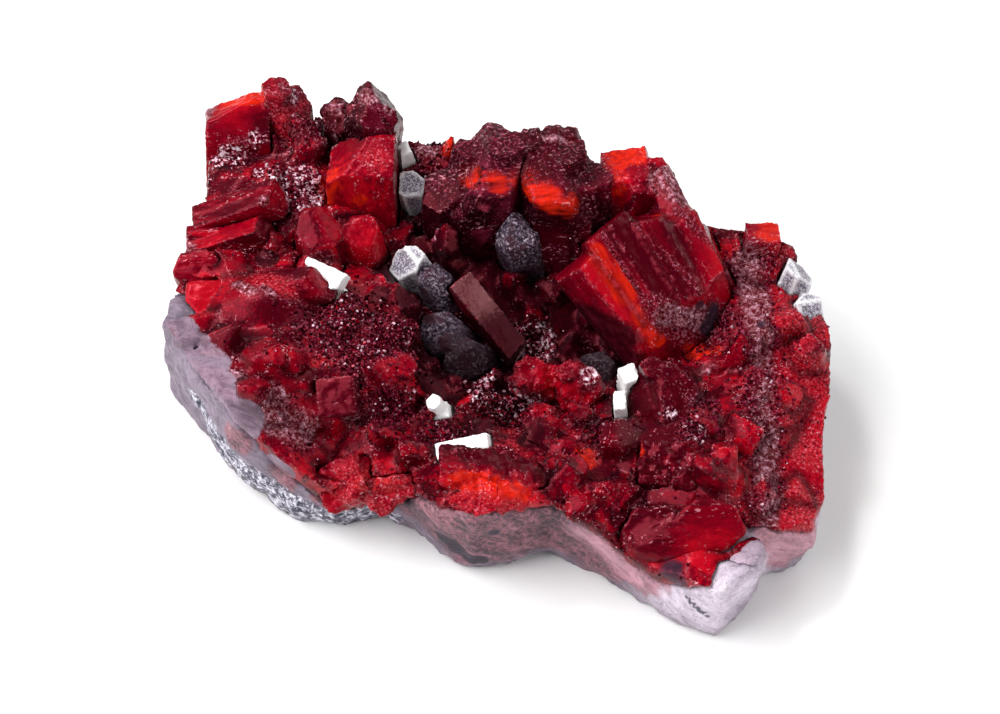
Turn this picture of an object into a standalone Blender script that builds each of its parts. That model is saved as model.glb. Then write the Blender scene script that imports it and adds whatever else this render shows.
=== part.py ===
"""A ruby specimen: deep red crystals grown together round an open hollow, on a slab of pale marble.

The specimen lies on its flat underside with its long side along X. It is modelled in millimetres.
At the end its box is centred over the origin and every mesh is scaled to metres.
"""

import math
import random
from dataclasses import dataclass

import bmesh
import bpy
from mathutils import Matrix, Vector, noise

METRES_PER_MM = 0.001

# Driving dimensions, in millimetres.
JOINT_GAP = 0.3            # between two neighbouring solids
WALL_STEP = 5.0            # spacing of the points round the slab
WALL_LEVELS = 8            # rings of faces up the wall
WALL_TOP = 36.0            # above everything that the reliefs cut
WALL_ROUGHNESS = 1.1
UNDERCUT = 1.4             # how far the wall draws in at the floor
UNDERCUT_HEIGHT = 5.0      # and how high up that starts
RELIEF_MARGIN = 6.0        # how far a relief reaches past the outline
RELIEF_FLOOR = -12.0       # the far side of a relief block that lies below its surface
CRUST_STEP = 4.2           # spacing of the points on the crust's surface
CRUST_ROUGHNESS = 1.3
CONTACT_STEP = 5.0         # spacing of the points on the surface under the crust
CONTACT_ROUGHNESS = 0.5

# The crust's small crystals, in millimetres and degrees.
SMALL_SPACING = 5.8
SMALL_SHAKE = 1.6          # how far one may stand from its place on the grid
SMALL_WIDTH = (3.2, 6.2)
SMALL_LENGTH = (5.0, 8.0)
SMALL_STANDING = 0.35      # the share of its length above the crust
SMALL_LEAN = 38.0          # from upright
SMALL_INSET = 2.0          # nearest that one comes to the slab's edge
COVERED_INSET = 1.0        # how far inside a standing crystal's box none is made
SEED = 41

# The slab seen from above, anticlockwise from its front left corner.
OUTLINE = [
    (-39.5, -18.5), (-31.5, -23), (-23.5, -27), (-16, -28.5), (-10, -27), (-6.5, -24), (-1, -23.5),
    (4, -25.5), (9, -25.5), (13, -22), (16.5, -18.5), (23, -18.5), (30, -19.5), (36, -20.5),
    (40.5, -20), (42.5, -15), (42, -9.5), (46, -5), (46, 0), (42.5, 6.5), (41, 13),
    (38, 19.5), (33, 25.5), (28, 29.5), (19, 29), (9, 29.5), (0, 27), (-10, 26), (-20, 25),
    (-30, 22), (-40, 20), (-47.5, 14.5), (-49, 9.5), (-46, 3), (-43.5, -4), (-41.8, -12),
]

# Heights of the marble's upper face, where the crystals are rooted: (x, y, z).
CONTACT = [
    (-41, -15, 17), (-32, -21, 17), (-23, -25, 16), (-16, -27, 10), (-10, -25, 4), (-3, -23, 5.5),
    (4, -24, 13), (10, -23, 13.5), (16, -17, 11.5), (23, -18, 10), (30, -19, 6), (36, -19, 9),
    (41, -18, 12.5), (42, -10, 11), (46, -3, 7.5), (43, 8, 5), (40, 16, 8), (33, 25, 14),
    (27, 29, 12), (15, 28, 8), (0, 26, 8), (-15, 23, 8), (-30, 22, 9), (-45, 16, 10), (-48, 9, 13),
    (-43, -5, 11), (-30, 0, 10), (-28, -14, 12), (-10, -10, 7), (0, 2, 2.5), (10, 8, 3),
    (25, 0, 7), (28, 18, 8), (8, -14, 8),
]

# Heights of the crust of small crystals, before any crystal stands on it: (x, y, z).
CRUST = [
    (-41, -14, 15.5), (-35, -17, 17.5), (-24, -22, 18.5), (-17, -24, 14), (-10, -24, 9.5),
    (-2, -22, 10), (6, -22, 14.5), (13, -18, 14), (20, -17, 12), (29, -18, 9), (36, -18, 11),
    (41, -13, 12), (43, -7, 11), (45.5, -2, 9), (42, 7, 11), (40, 14, 13.5), (33, 25, 15.5),
    (27, 28.5, 19), (19, 28.5, 18.5), (9, 28, 18), (-2, 25, 18), (-10, 24, 18), (-20, 23, 20),
    (-29, 20, 19.5), (-37, 19, 21), (-46, 15, 21), (-48.5, 10, 20), (-45.5, 3, 19), (-43.5, -4, 17.5),
    (-40, 8, 20), (-31, 12, 18.5), (-31, 2, 17.5), (-35, -8, 18), (-26, -6, 16.5), (-23, -14, 17),
    (-16, -10, 15.5), (-18, -1, 14.5), (-12, 6, 10), (-5, 3, 5.5), (2, 5, 5), (6, -4, 7.5),
    (0, -10, 10), (7, -14, 13), (9, 11, 6.5), (14, 15, 11), (23, 9, 12.5), (14, 2, 10),
    (15, -5, 12), (26, -5, 14), (33, -8, 14), (33, 5, 15), (29, 20, 17), (14, 25, 16),
    (0, 16, 12), (-8, 14, 12), (-17, 14, 12.5),
]

UP = Vector((0, 0, 1))
FRONT = Vector((0.45, -0.89, 0.0))


@dataclass
class Prism:
    """One crystal, from its root to its tip. Its depth is measured along facing, its width across that.

    A cut is (tilt, heading, reach): a plane face tilted from the axis, towards a heading of 0 for the
    left as seen from the facing side, 90 for facing and 180 for the right, that crosses the axis at
    that share of the length. A tilt over 90 faces back to the root.
    """

    root: tuple
    tip: tuple
    width: float
    depth: float
    facing: Vector = FRONT
    sides: int = 6
    taper: float = 0.9
    turn: float = 0.0
    cuts: tuple = ()


# The crystals that stand clear of the crust, one node each: a node's prisms are grown into one another.
RUBIES = {
    "striated_ruby": [
        Prism((20.6, 8.2, 9.4), (2.6, 15.6, 16.6), 6.0, 7.6, UP, 6, 1.04, 0,
              ((24, 60, 0.98), (128, 95, 0.12))),
        Prism((21.4, 10.6, 11.8), (4.8, 19.8, 20.6), 5.6, 8.8, UP, 6, 1.08, 5,
              ((16, 30, 0.98), (134, 80, 0.1))),
        Prism((23.6, 13.4, 12.2), (8.2, 22.6, 21.6), 5.0, 9.4, UP, 6, 1.1, -5,
              ((22, 120, 0.97), (138, 95, 0.1))),
        Prism((25.6, 16.2, 11.8), (11.4, 25.6, 21.2), 4.6, 9.4, UP, 6, 1.1, 4,
              ((26, 60, 0.98), (130, 100, 0.12))),
        Prism((26.4, 18.6, 10.8), (14.0, 27.0, 18.6), 4.0, 8.4, UP, 6, 1.0, -12,
              ((30, 100, 0.95), (126, 80, 0.14))),
    ],
    "back_ruby": [
        Prism((5.6, 28.4, 10.0), (5.8, 29.8, 24.2), 10.4, 6.6, FRONT, 4, 0.97, 3, ((12, 10, 0.97), (64, 178, 1.1))),
        Prism((2.0, 25.6, 10.0), (3.0, 26.4, 22.4), 3.6, 4.2, FRONT, 6, 0.6, 12, ((48, 150, 0.94),)),
    ],
    "rose_ruby": [
        Prism((-12.2, 18.2, 7.0), (-12.8, 20.0, 28.8), 11.5, 10.5, FRONT, 6, 0.93, 6,
              ((38, 92, 0.9), (57, 8, 0.82), (20, 200, 0.98))),
        Prism((-16.0, 15.5, 9.0), (-17.0, 16.5, 21.5), 6.0, 6.0, FRONT, 6, 0.88, 20, ((35, 40, 0.93),)),
    ],
    "dusky_ruby": [
        Prism((-1.6, 21.6, 7.0), (-2.4, 23.8, 28.4), 12.5, 11.0, FRONT, 6, 0.92, -8,
              ((34, 85, 0.9), (52, 172, 0.86), (16, 20, 0.98))),
        Prism((3.0, 20.5, 9.0), (2.6, 21.0, 19.5), 6.5, 6.0, FRONT, 6, 0.88, 10, ((42, 120, 0.9),)),
    ],
    "tower_ruby": [
        Prism((-30.0, 19.4, 12.0), (-29.2, 21.0, 29.2), 7.4, 7.2, FRONT, 6, 0.92, 10,
              ((36, 95, 0.92), (46, 185, 0.93), (40, 10, 0.95))),
        Prism((-34.0, 18.4, 12.0), (-34.2, 19.4, 24.6), 4.8, 5.2, FRONT, 6, 0.85, 25, ((30, 60, 0.95),)),
    ],
    "ember_ruby": [
        Prism((-27.4, 13.4, 9.0), (-28.2, 14.6, 25.0), 9.4, 7.5, FRONT, 4, 0.96, -3,
              ((24, 90, 0.96), (35, 5, 0.97))),
    ],
    "corner_ruby": [
        Prism((-46.0, 11.0, 12.0), (-47.4, 14.6, 24.6), 9.0, 6.5, FRONT, 4, 0.95, 5,
              ((22, 5, 0.93), (48, 90, 0.9))),
        Prism((-40.5, 16.0, 13.0), (-41.4, 19.0, 25.0), 6.2, 6.0, FRONT, 6, 0.8, 15, ((42, 110, 0.9),)),
    ],
    "upper_blade": [
        Prism((-44.4, -1.4, 16.6), (-34.6, 4.6, 21.4), 4.0, 4.4, UP, 4, 0.97, 6, ((30, 150, 0.97),)),
    ],
    "lower_blade": [
        Prism((-43.6, -5.0, 15.2), (-34.4, 0.8, 19.2), 4.0, 3.8, UP, 4, 0.97, -4, ((26, 120, 0.97),)),
    ],
    "left_ruby": [
        Prism((-40.4, -6.4, 10.0), (-40.8, -8.4, 18.0), 6.6, 5.2, FRONT, 6, 0.88, 12, ((30, 80, 0.92),)),
    ],
    "lens_ruby": [
        Prism((-38.6, -12.7, 13.4), (-24.8, -6.6, 17.6), 8.6, 8.5, UP, 6, 0.8, 8, ((28, 70, 0.95), (70, 96, 0.72))),
        Prism((-33.0, -7.2, 14.5), (-22.6, -3.4, 18.2), 5.6, 6.0, UP, 6, 0.82, -8, ((34, 90, 0.94),)),
    ],
    "twin_ruby": [
        Prism((-27.6, 3.4, 11.0), (-28.8, 3.2, 21.4), 7.0, 6.8, FRONT, 6, 0.84, 14, ((32, 60, 0.93), (38, 150, 0.94))),
        Prism((-23.0, 6.8, 10.0), (-23.8, 6.2, 19.6), 5.4, 5.4, FRONT, 6, 0.86, 0, ((28, 100, 0.95),)),
        Prism((-25.6, 0.6, 10.0), (-27.0, -1.0, 17.6), 6.4, 5.4, FRONT, 6, 0.82, 22, ((40, 130, 0.9),)),
    ],
    "square_ruby": [
        Prism((-14.6, -14.6, 8.0), (-14.0, -18.2, 16.2), 5.2, 5.2, FRONT, 4, 0.97, 2, ((6, 90, 0.98),)),
    ],
    "mauve_blade": [
        Prism((-10.4, 8.0, 13.4), (0.6, 4.4, 7.6), 3.6, 3.4, UP, 4, 0.98, 10, ((20, 60, 0.98),)),
    ],
    "heart_ruby": [
        Prism((6.6, 1.0, 5.0), (4.8, -1.2, 13.6), 5.4, 5.0, FRONT, 6, 0.82, 8, ((34, 60, 0.93), (30, 150, 0.95))),
        Prism((10.6, 1.6, 5.0), (11.4, 0.2, 13.8), 6.2, 5.2, FRONT, 6, 0.84, -12, ((36, 110, 0.93),)),
    ],
    "deep_ruby": [
        Prism((22.0, 3.4, 5.0), (22.4, 1.0, 15.8), 9.4, 9.5, FRONT, 6, 0.9, 12, ((27, 80, 0.93), (50, 10, 0.94))),
    ],
    "slope_ruby": [
        Prism((26.6, -6.0, 4.0), (27.2, -7.8, 15.4), 7.4, 5.4, FRONT, 4, 0.92, -4, ((25, 95, 0.92),)),
    ],
    "tip_ruby": [
        Prism((28.4, -13.0, 2.0), (29.0, -15.8, 12.8), 7.8, 5.6, FRONT, 6, 0.9, 5, ((34, 80, 0.92),)),
        Prism((35.0, -10.2, 3.0), (35.6, -13.0, 14.6), 8.4, 6.2, FRONT, 6, 0.9, -12, ((30, 100, 0.92),)),
    ],
    "rim_ruby": [
        Prism((24.2, 27.0, 12.0), (24.4, 28.2, 21.0), 4.6, 3.6, FRONT, 4, 0.95, 4, ((10, 90, 0.97),)),
    ],
    "front_ember": [
        Prism((2.6, -21.0, 14.4), (14.4, -15.6, 15.0), 5.0, 4.6, UP, 6, 0.9, 10, ((30, 30, 0.95), (72, 80, 0.7))),
    ],
    "front_ruby": [
        Prism((-8.0, -21.0, 3.0), (-9.6, -26.4, 10.6), 7.0, 5.6, FRONT, 4, 0.93, 8, ((26, 70, 0.93),)),
        Prism((-2.2, -19.6, 4.0), (-3.0, -25.4, 10.2), 7.0, 5.4, FRONT, 6, 0.9, -6, ((30, 120, 0.93),)),
    ],
}

DARK_CRYSTALS = {
    "upper_black_crystal": [
        Prism((-4.2, 17.4, 9.0), (-5.8, 15.0, 21.2), 6.8, 6.2, FRONT, 6, 0.8, 10,
              ((36, 90, 0.9), (44, 0, 0.93), (44, 190, 0.93))),
    ],
    "left_black_crystal": [
        Prism((-12.0, 7.4, 8.0), (-12.9, 5.8, 15.4), 5.0, 4.8, FRONT, 6, 0.82, 20, ((34, 120, 0.93),)),
    ],
    "middle_black_crystal": [
        Prism((-8.8, 3.4, 5.0), (-9.3, 0.2, 12.8), 7.4, 5.6, FRONT, 6, 0.8, 5,
              ((30, 60, 0.9), (36, 140, 0.92))),
        Prism((-4.6, 2.6, 4.4), (-5.0, -0.8, 9.8), 7.0, 5.4, FRONT, 6, 0.84, 18, ((32, 90, 0.92),)),
    ],
    "right_black_crystal": [
        Prism((12.2, 7.6, 4.0), (11.0, 5.4, 10.4), 6.0, 5.0, FRONT, 6, 0.82, 0, ((36, 70, 0.92),)),
    ],
}

PALE_CRYSTALS = {
    "white_crystal_left": [Prism((-23.4, -1.6, 11.0), (-24.6, -3.6, 18.2), 5.4, 2.4, FRONT, 4, 0.85, -24)],
    "white_crystal_low": [Prism((-2.4, -9.4, 7.0), (-3.0, -11.6, 12.0), 2.8, 2.4, FRONT, 4, 0.95, 4)],
    "white_crystal_front": [Prism((2.6, -13.2, 8.0), (2.6, -15.8, 12.8), 7.6, 2.4, FRONT, 4, 0.9, 4)],
    "white_crystal_right": [Prism((16.6, 4.8, 8.0), (17.0, 3.0, 14.8), 2.8, 3.2, FRONT, 4, 0.8, 20)],
    "white_crystal_small": [Prism((17.2, 1.0, 7.0), (17.4, -0.6, 13.6), 1.8, 3.0, FRONT, 4, 0.9, 0)],
    "white_crystal_back": [Prism((-24.2, 21.4, 14.0), (-24.9, 19.8, 21.2), 2.4, 2.6, FRONT, 4, 0.85, 20)],
    "frosted_crystal_back": [
        Prism((-21.2, 18.6, 11.0), (-22.4, 16.4, 19.4), 5.0, 4.2, FRONT, 6, 0.85, 10, ((30, 150, 0.93),)),
    ],
    "frosted_crystal_left": [
        Prism((-16.2, 8.8, 8.0), (-17.4, 6.4, 16.2), 5.8, 4.4, FRONT, 6, 0.85, 0, ((32, 30, 0.93),)),
    ],
    "frosted_crystal_rim": [
        Prism((29.6, 25.6, 12.0), (30.6, 26.6, 18.6), 4.6, 4.6, FRONT, 6, 0.82, 10, ((36, 190, 0.9),)),
        Prism((32.6, 22.2, 11.0), (33.8, 22.8, 16.6), 4.4, 5.0, FRONT, 6, 0.82, -10, ((34, 120, 0.92),)),
    ],
}


def new_object(name, bm, collection):
    """An object in the collection that takes over the bmesh."""
    mesh = bpy.data.meshes.new(name)
    bmesh.ops.triangulate(bm, faces=bm.faces)
    bm.normal_update()
    bmesh.ops.recalc_face_normals(bm, faces=bm.faces)
    bm.to_mesh(mesh)
    bm.free()
    obj = bpy.data.objects.new(name, mesh)
    collection.objects.link(obj)
    return obj


def new_collection(name):
    collection = bpy.data.collections.new(name)
    bpy.context.scene.collection.children.link(collection)
    return collection


def combine(obj, other, operation):
    """Applies a Boolean with another object, which stays as it is."""
    modifier = obj.modifiers.new(operation.title(), "BOOLEAN")
    modifier.operation = operation
    modifier.object = other
    graph = bpy.context.evaluated_depsgraph_get()
    mesh = bpy.data.meshes.new_from_object(obj.evaluated_get(graph))
    obj.modifiers.clear()
    obj.data = mesh


def discard(obj):
    bpy.data.objects.remove(obj)


def keep_largest_part(obj):
    """Drops the crumbs that a cut has parted from a solid."""
    bm = bmesh.new()
    bm.from_mesh(obj.data)
    waiting = set(bm.faces)
    parts = []
    while waiting:
        part = {waiting.pop()}
        unvisited = list(part)
        while unvisited:
            for edge in unvisited.pop().edges:
                joined = [face for face in edge.link_faces if face in waiting]
                waiting.difference_update(joined)
                part.update(joined)
                unvisited += joined
        parts.append(part)
    largest = max(parts, key=lambda part: sum(face.calc_area() for face in part))
    bmesh.ops.delete(bm, geom=[f for f in bm.faces if f not in largest], context="FACES")
    bm.to_mesh(obj.data)
    bm.free()


def bounds(objects, margin=0.0):
    """The lowest and the highest corner of the objects' common box, grown by a margin."""
    points = [vert.co for obj in objects for vert in obj.data.vertices]
    low = Vector([min(point[axis] for point in points) - margin for axis in range(3)])
    high = Vector([max(point[axis] for point in points) + margin for axis in range(3)])
    return low, high


def may_touch(obj, other):
    low_a, high_a = bounds([obj], JOINT_GAP)
    low_b, high_b = bounds([other], JOINT_GAP)
    return all(low_a[axis] < high_b[axis] and low_b[axis] < high_a[axis] for axis in range(3))


# The two reliefs: the marble's upper face and the crust's.


def blended_height(points, x, y, softness=2.5):
    """The height at (x, y) between named heights, each weighing less with distance."""
    total = weight_sum = 0.0
    for px, py, height in points:
        weight = 1.0 / ((x - px) ** 2 + (y - py) ** 2 + softness ** 2) ** 2
        total += weight * height
        weight_sum += weight
    return total / weight_sum


def lumps(x, y, size):
    """Smooth lumps of the given size, from about -0.5 to 0.5."""
    return noise.noise(Vector((x, y, size)) / size)


def contact_height(x, y):
    """Where the marble ends and the crust of rubies begins."""
    return blended_height(CONTACT, x, y) + CONTACT_ROUGHNESS * lumps(x, y, 6.0)


def crust_height(x, y):
    """The crust's upper face, before any crystal is fused to it."""
    return blended_height(CRUST, x, y) + CRUST_ROUGHNESS * (lumps(x, y, 5.0) + 0.6 * lumps(x, y, 2.3))


def relief_block(name, height, step, lift, collection):
    """A block from RELIEF_FLOOR up to a height function raised by lift."""
    xs = [x for x, _ in OUTLINE]
    ys = [y for _, y in OUTLINE]
    size_x = max(xs) - min(xs) + 2 * RELIEF_MARGIN
    size_y = max(ys) - min(ys) + 2 * RELIEF_MARGIN
    bm = bmesh.new()
    bmesh.ops.create_grid(bm, x_segments=round(size_x / step), y_segments=round(size_y / step), size=0.5)
    centre = Vector(((max(xs) + min(xs)) / 2, (max(ys) + min(ys)) / 2, 0))
    bm.transform(Matrix.Translation(centre) @ Matrix.Diagonal((size_x, size_y, 1, 1)))
    for vert in bm.verts:
        vert.co.z = height(vert.co.x, vert.co.y) + lift
    floor = bmesh.ops.extrude_face_region(bm, geom=bm.faces[:], use_keep_orig=True)
    for vert in floor["geom"]:
        if isinstance(vert, bmesh.types.BMVert):
            vert.co.z = RELIEF_FLOOR
    return new_object(name, bm, collection)


# The slab.


def resampled(outline, step):
    """Points about a step apart round a closed outline."""
    points = []
    for corner, following in zip(outline, outline[1:] + outline[:1]):
        start, end = Vector(corner), Vector(following)
        pieces = max(1, round((end - start).length / step))
        points += [start.lerp(end, piece / pieces) for piece in range(pieces)]
    return points


def slab_body(name, collection):
    """The whole specimen's outside as a rough wall round the outline, from the floor to WALL_TOP."""
    bm = bmesh.new()
    ring = [bm.verts.new((point.x, point.y, 0)) for point in resampled(OUTLINE, WALL_STEP)]
    face = bm.faces.new(ring)
    for level in range(1, WALL_LEVELS + 1):
        face = bmesh.ops.extrude_discrete_faces(bm, faces=[face])["faces"][0]
        for vert in face.verts:
            vert.co.z = WALL_TOP * (level / WALL_LEVELS) ** 1.3
    bm.faces.new(ring)
    for vert in bm.verts:
        outward = Vector((vert.co.x, vert.co.y, 0)).normalized()
        drawn_in = UNDERCUT * max(0.0, 1 - vert.co.z / UNDERCUT_HEIGHT) ** 2
        rough = noise.noise(vert.co / 7) + 0.5 * noise.noise(vert.co / 3)
        vert.co += outward * (WALL_ROUGHNESS * rough - drawn_in)
    return new_object(name, bm, collection)


# The crystals.


def prism_frame(prism):
    """The matrix that carries a prism's own axes to the specimen's: +Z to the tip, +Y to its facing."""
    root, tip = Vector(prism.root), Vector(prism.tip)
    axis = (tip - root).normalized()
    facing = (prism.facing - axis * prism.facing.dot(axis)).normalized()
    turned = Matrix((facing.cross(axis), facing, axis)).transposed().to_4x4()
    return Matrix.Translation(root) @ turned @ Matrix.Rotation(math.radians(prism.turn), 4, "Z")


def direction(tilt, heading):
    """The unit vector that leans from +Z by tilt degrees, towards heading degrees round from +X."""
    tilt, heading = math.radians(tilt), math.radians(heading)
    return Vector((math.sin(tilt) * math.cos(heading), math.sin(tilt) * math.sin(heading), math.cos(tilt)))


def prism_object(name, prism, grow, collection):
    """The solid of one prism, with every face moved out by grow."""
    length = (Vector(prism.tip) - Vector(prism.root)).length
    flat = 1 / math.cos(math.pi / prism.sides)
    bm = bmesh.new()
    bmesh.ops.create_cone(
        bm, cap_ends=True, segments=prism.sides, radius1=flat, radius2=flat * prism.taper, depth=1
    )
    bm.transform(Matrix.Rotation(math.pi / prism.sides, 4, "Z"))
    bm.transform(Matrix.Translation((0, 0, 0.5)))
    bm.transform(Matrix.Diagonal((prism.width / 2 + grow, prism.depth / 2 + grow, length + 2 * grow, 1)))
    bm.transform(Matrix.Translation((0, 0, -grow)))
    for tilt, heading, reach in prism.cuts:
        normal = direction(tilt, heading)
        cut = bmesh.ops.bisect_plane(
            bm,
            geom=bm.verts[:] + bm.edges[:] + bm.faces[:],
            plane_co=Vector((0, 0, reach * length)) + normal * grow,
            plane_no=normal,
            clear_outer=True,
        )
        rim = [edge for edge in cut["geom_cut"] if isinstance(edge, bmesh.types.BMEdge)]
        bmesh.ops.contextual_create(bm, geom=rim)
    bm.transform(prism_frame(prism))
    return new_object(name, bm, collection)


def grown_solids(name, prisms, grow, helpers):
    return [prism_object(f"{name}_{i}", prism, grow, helpers) for i, prism in enumerate(prisms)]


def build_standing_crystals(groups, below_crust, specimen, helpers):
    """Makes one object for each named crystal, cut clear of the marble and of those made before it."""
    made = []
    sockets = []
    for name, prisms in groups.items():
        first, *rest = grown_solids(name, prisms, 0.0, helpers)
        for other in rest:
            combine(first, other, "UNION")
            discard(other)
        combine(first, below_crust, "DIFFERENCE")
        for socket in sockets:
            if may_touch(first, socket):
                combine(first, socket, "DIFFERENCE")
        keep_largest_part(first)
        helpers.objects.unlink(first)
        specimen.objects.link(first)
        first.name = first.data.name = name
        made.append(first)
        sockets += grown_solids(name + "_socket", prisms, JOINT_GAP, helpers)
    return made, sockets


# The crust.


def inside_outline(x, y, inset):
    """True if the point lies inside the outline, at least inset from it."""
    inside = False
    point = Vector((x, y))
    for (x1, y1), (x2, y2) in zip(OUTLINE, OUTLINE[1:] + OUTLINE[:1]):
        if (y1 > y) != (y2 > y) and x < (x2 - x1) * (y - y1) / (y2 - y1) + x1:
            inside = not inside
        start, side = Vector((x1, y1)), Vector((x2 - x1, y2 - y1))
        share = min(1.0, max(0.0, (point - start).dot(side) / side.length_squared))
        if (point - start - side * share).length < inset:
            return False
    return inside


def small_crystal_sites(rng):
    """Places for the crust's small crystals: a shaken grid, kept inside the slab's outline."""
    low_x, low_y = (min(values) for values in zip(*OUTLINE))
    high_x, high_y = (max(values) for values in zip(*OUTLINE))
    for row in range(math.ceil((high_y - low_y) / SMALL_SPACING)):
        for column in range(-1, math.ceil((high_x - low_x) / SMALL_SPACING)):
            x = low_x + (column + 0.5 * (row % 2)) * SMALL_SPACING + rng.uniform(-SMALL_SHAKE, SMALL_SHAKE)
            y = low_y + row * SMALL_SPACING + rng.uniform(-SMALL_SHAKE, SMALL_SHAKE)
            if inside_outline(x, y, SMALL_INSET):
                yield x, y


def small_prism(x, y, rng):
    """A small crystal rooted in the crust at (x, y), leaning a random way."""
    axis = direction(rng.uniform(0, SMALL_LEAN), rng.uniform(0, 360))
    length = rng.uniform(*SMALL_LENGTH)
    width = rng.uniform(*SMALL_WIDTH)
    depth = width * rng.uniform(0.7, 1.0)
    tip = Vector((x, y, crust_height(x, y) + SMALL_STANDING * length))
    cuts = tuple((rng.uniform(25, 45), rng.uniform(0, 360), 0.93) for _ in range(2))
    return Prism(
        tuple(tip - axis * length), tuple(tip), width, depth, FRONT,
        rng.choice((4, 6, 6)), rng.uniform(0.78, 0.95), rng.uniform(0, 60), cuts
    )


def is_covered(x, y, boxes):
    """True if one of the standing crystals' boxes holds the place."""
    return any(low.x < x < high.x and low.y < y < high.y for low, high in boxes)


def build_crust(below_crust, standing, sockets, specimen, helpers):
    """The crust of small rubies, with a socket for each standing crystal."""
    crust = slab_body("ruby_crust", specimen)
    combine(crust, relief_block("crust_surface", crust_height, CRUST_STEP, 0.0, helpers), "INTERSECT")
    rng = random.Random(SEED)
    covered = [bounds([obj], -COVERED_INSET) for obj in standing]
    for x, y in small_crystal_sites(rng):
        prism = small_prism(x, y, rng)
        if not is_covered(x, y, covered):
            small = prism_object("small_ruby", prism, 0.0, helpers)
            combine(crust, small, "UNION")
            discard(small)
    combine(crust, below_crust, "DIFFERENCE")
    for socket in sockets:
        combine(crust, socket, "DIFFERENCE")
    keep_largest_part(crust)
    return crust


def build_marble(specimen, helpers):
    marble = slab_body("marble_matrix", specimen)
    combine(marble, relief_block("marble_surface", contact_height, CONTACT_STEP, 0.0, helpers), "INTERSECT")
    return marble


# The finished specimen.


def material(name, colour, roughness):
    made = bpy.data.materials.new(name)
    made.use_nodes = True
    shader = made.node_tree.nodes["Principled BSDF"]
    shader.inputs["Base Color"].default_value = (*colour, 1)
    shader.inputs["Roughness"].default_value = roughness
    shader.inputs["Metallic"].default_value = 0.0
    return made


def give_materials(marble, crust, standing):
    ruby = material("ruby", (0.42, 0.01, 0.02), 0.15)
    dark = material("black_mineral", (0.03, 0.025, 0.04), 0.35)
    pale = material("white_crystal", (0.82, 0.8, 0.82), 0.3)
    marble.data.materials.append(material("marble", (0.62, 0.5, 0.56), 0.7))
    crust.data.materials.append(ruby)
    for obj in standing:
        finish = ruby
        if obj.name in DARK_CRYSTALS:
            finish = dark
        elif obj.name in PALE_CRYSTALS:
            finish = pale
        obj.data.materials.append(finish)


def stand_on_origin(objects):
    """Centres the common box over the origin, with its underside at Z = 0, and scales to metres."""
    low, high = bounds(objects)
    centre = Vector(((low.x + high.x) / 2, (low.y + high.y) / 2, low.z))
    for obj in objects:
        obj.data.transform(Matrix.Scale(METRES_PER_MM, 4) @ Matrix.Translation(-centre))


def main():
    for obj in list(bpy.data.objects):
        bpy.data.objects.remove(obj)
    specimen, helpers = new_collection("ruby_specimen"), new_collection("cutters")
    below_crust = relief_block("below_crust", contact_height, CONTACT_STEP, JOINT_GAP, helpers)

    marble = build_marble(specimen, helpers)
    standing, sockets = build_standing_crystals(
        {**RUBIES, **DARK_CRYSTALS, **PALE_CRYSTALS}, below_crust, specimen, helpers
    )
    crust = build_crust(below_crust, standing, sockets, specimen, helpers)

    give_materials(marble, crust, standing)
    stand_on_origin([marble, crust, *standing])
    for obj in list(helpers.objects):
        discard(obj)


if __name__ == "__main__":
    main()
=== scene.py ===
"""A ruby specimen: deep red crystals grown together round an open hollow, on a slab of pale marble.

Each piece is grown out of the solid that the frame holds for it, finished with its own material and
dressed with the small crystals and grains that cover the crust. Lengths are in metres, except in the
tables that say millimetres and in the sizes of the shaders' patterns, which are in millimetres too.
"""

import math

import bpy
import numpy as np
from mathutils import Matrix, Vector
from mathutils.bvhtree import BVHTree
from mathutils.kdtree import KDTree


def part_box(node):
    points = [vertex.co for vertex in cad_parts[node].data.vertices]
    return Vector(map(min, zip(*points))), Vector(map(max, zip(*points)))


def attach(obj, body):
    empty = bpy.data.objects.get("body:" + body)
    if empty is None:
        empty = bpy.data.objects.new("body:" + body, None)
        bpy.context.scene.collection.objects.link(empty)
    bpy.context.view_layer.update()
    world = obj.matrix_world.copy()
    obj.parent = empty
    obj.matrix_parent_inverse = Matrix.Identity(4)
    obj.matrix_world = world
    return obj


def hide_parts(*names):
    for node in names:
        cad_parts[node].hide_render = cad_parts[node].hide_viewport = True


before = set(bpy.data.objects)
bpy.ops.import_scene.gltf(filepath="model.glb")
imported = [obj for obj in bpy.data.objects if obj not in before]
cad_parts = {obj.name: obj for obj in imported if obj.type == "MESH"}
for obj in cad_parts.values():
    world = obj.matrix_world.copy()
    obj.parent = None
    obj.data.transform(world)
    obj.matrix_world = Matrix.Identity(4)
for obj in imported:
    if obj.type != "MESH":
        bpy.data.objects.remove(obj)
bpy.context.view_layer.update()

bl_info = {
    "name": "Ruby specimen",
    "version": (1, 0, 0),
    "blender": (4, 5, 0),
    "location": "View3D > Sidebar > Ruby",
    "description": "Builds a hand specimen of ruby crystals on pale marble",
    "category": "Add Mesh",
}

MM = 0.001
MERGE = 1e-6               # nearer corners than this are one
SEED = 7

RED, BLACK, WHITE, FROSTED, MARBLE = "ruby", "black_mineral", "white_crystal", "frosted_crystal", "marble"

# The directions that crystals stand in and that their striations run along.
LEVEL_WAY = (0.86, 0.5, 0.1)
UPRIGHT_WAY = (0.2, -0.3, 0.93)
STRIATED_WAY = (-0.72, 0.6, 0.35)
LEANING_WAY = (0.05, 0.12, 0.99)

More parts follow.
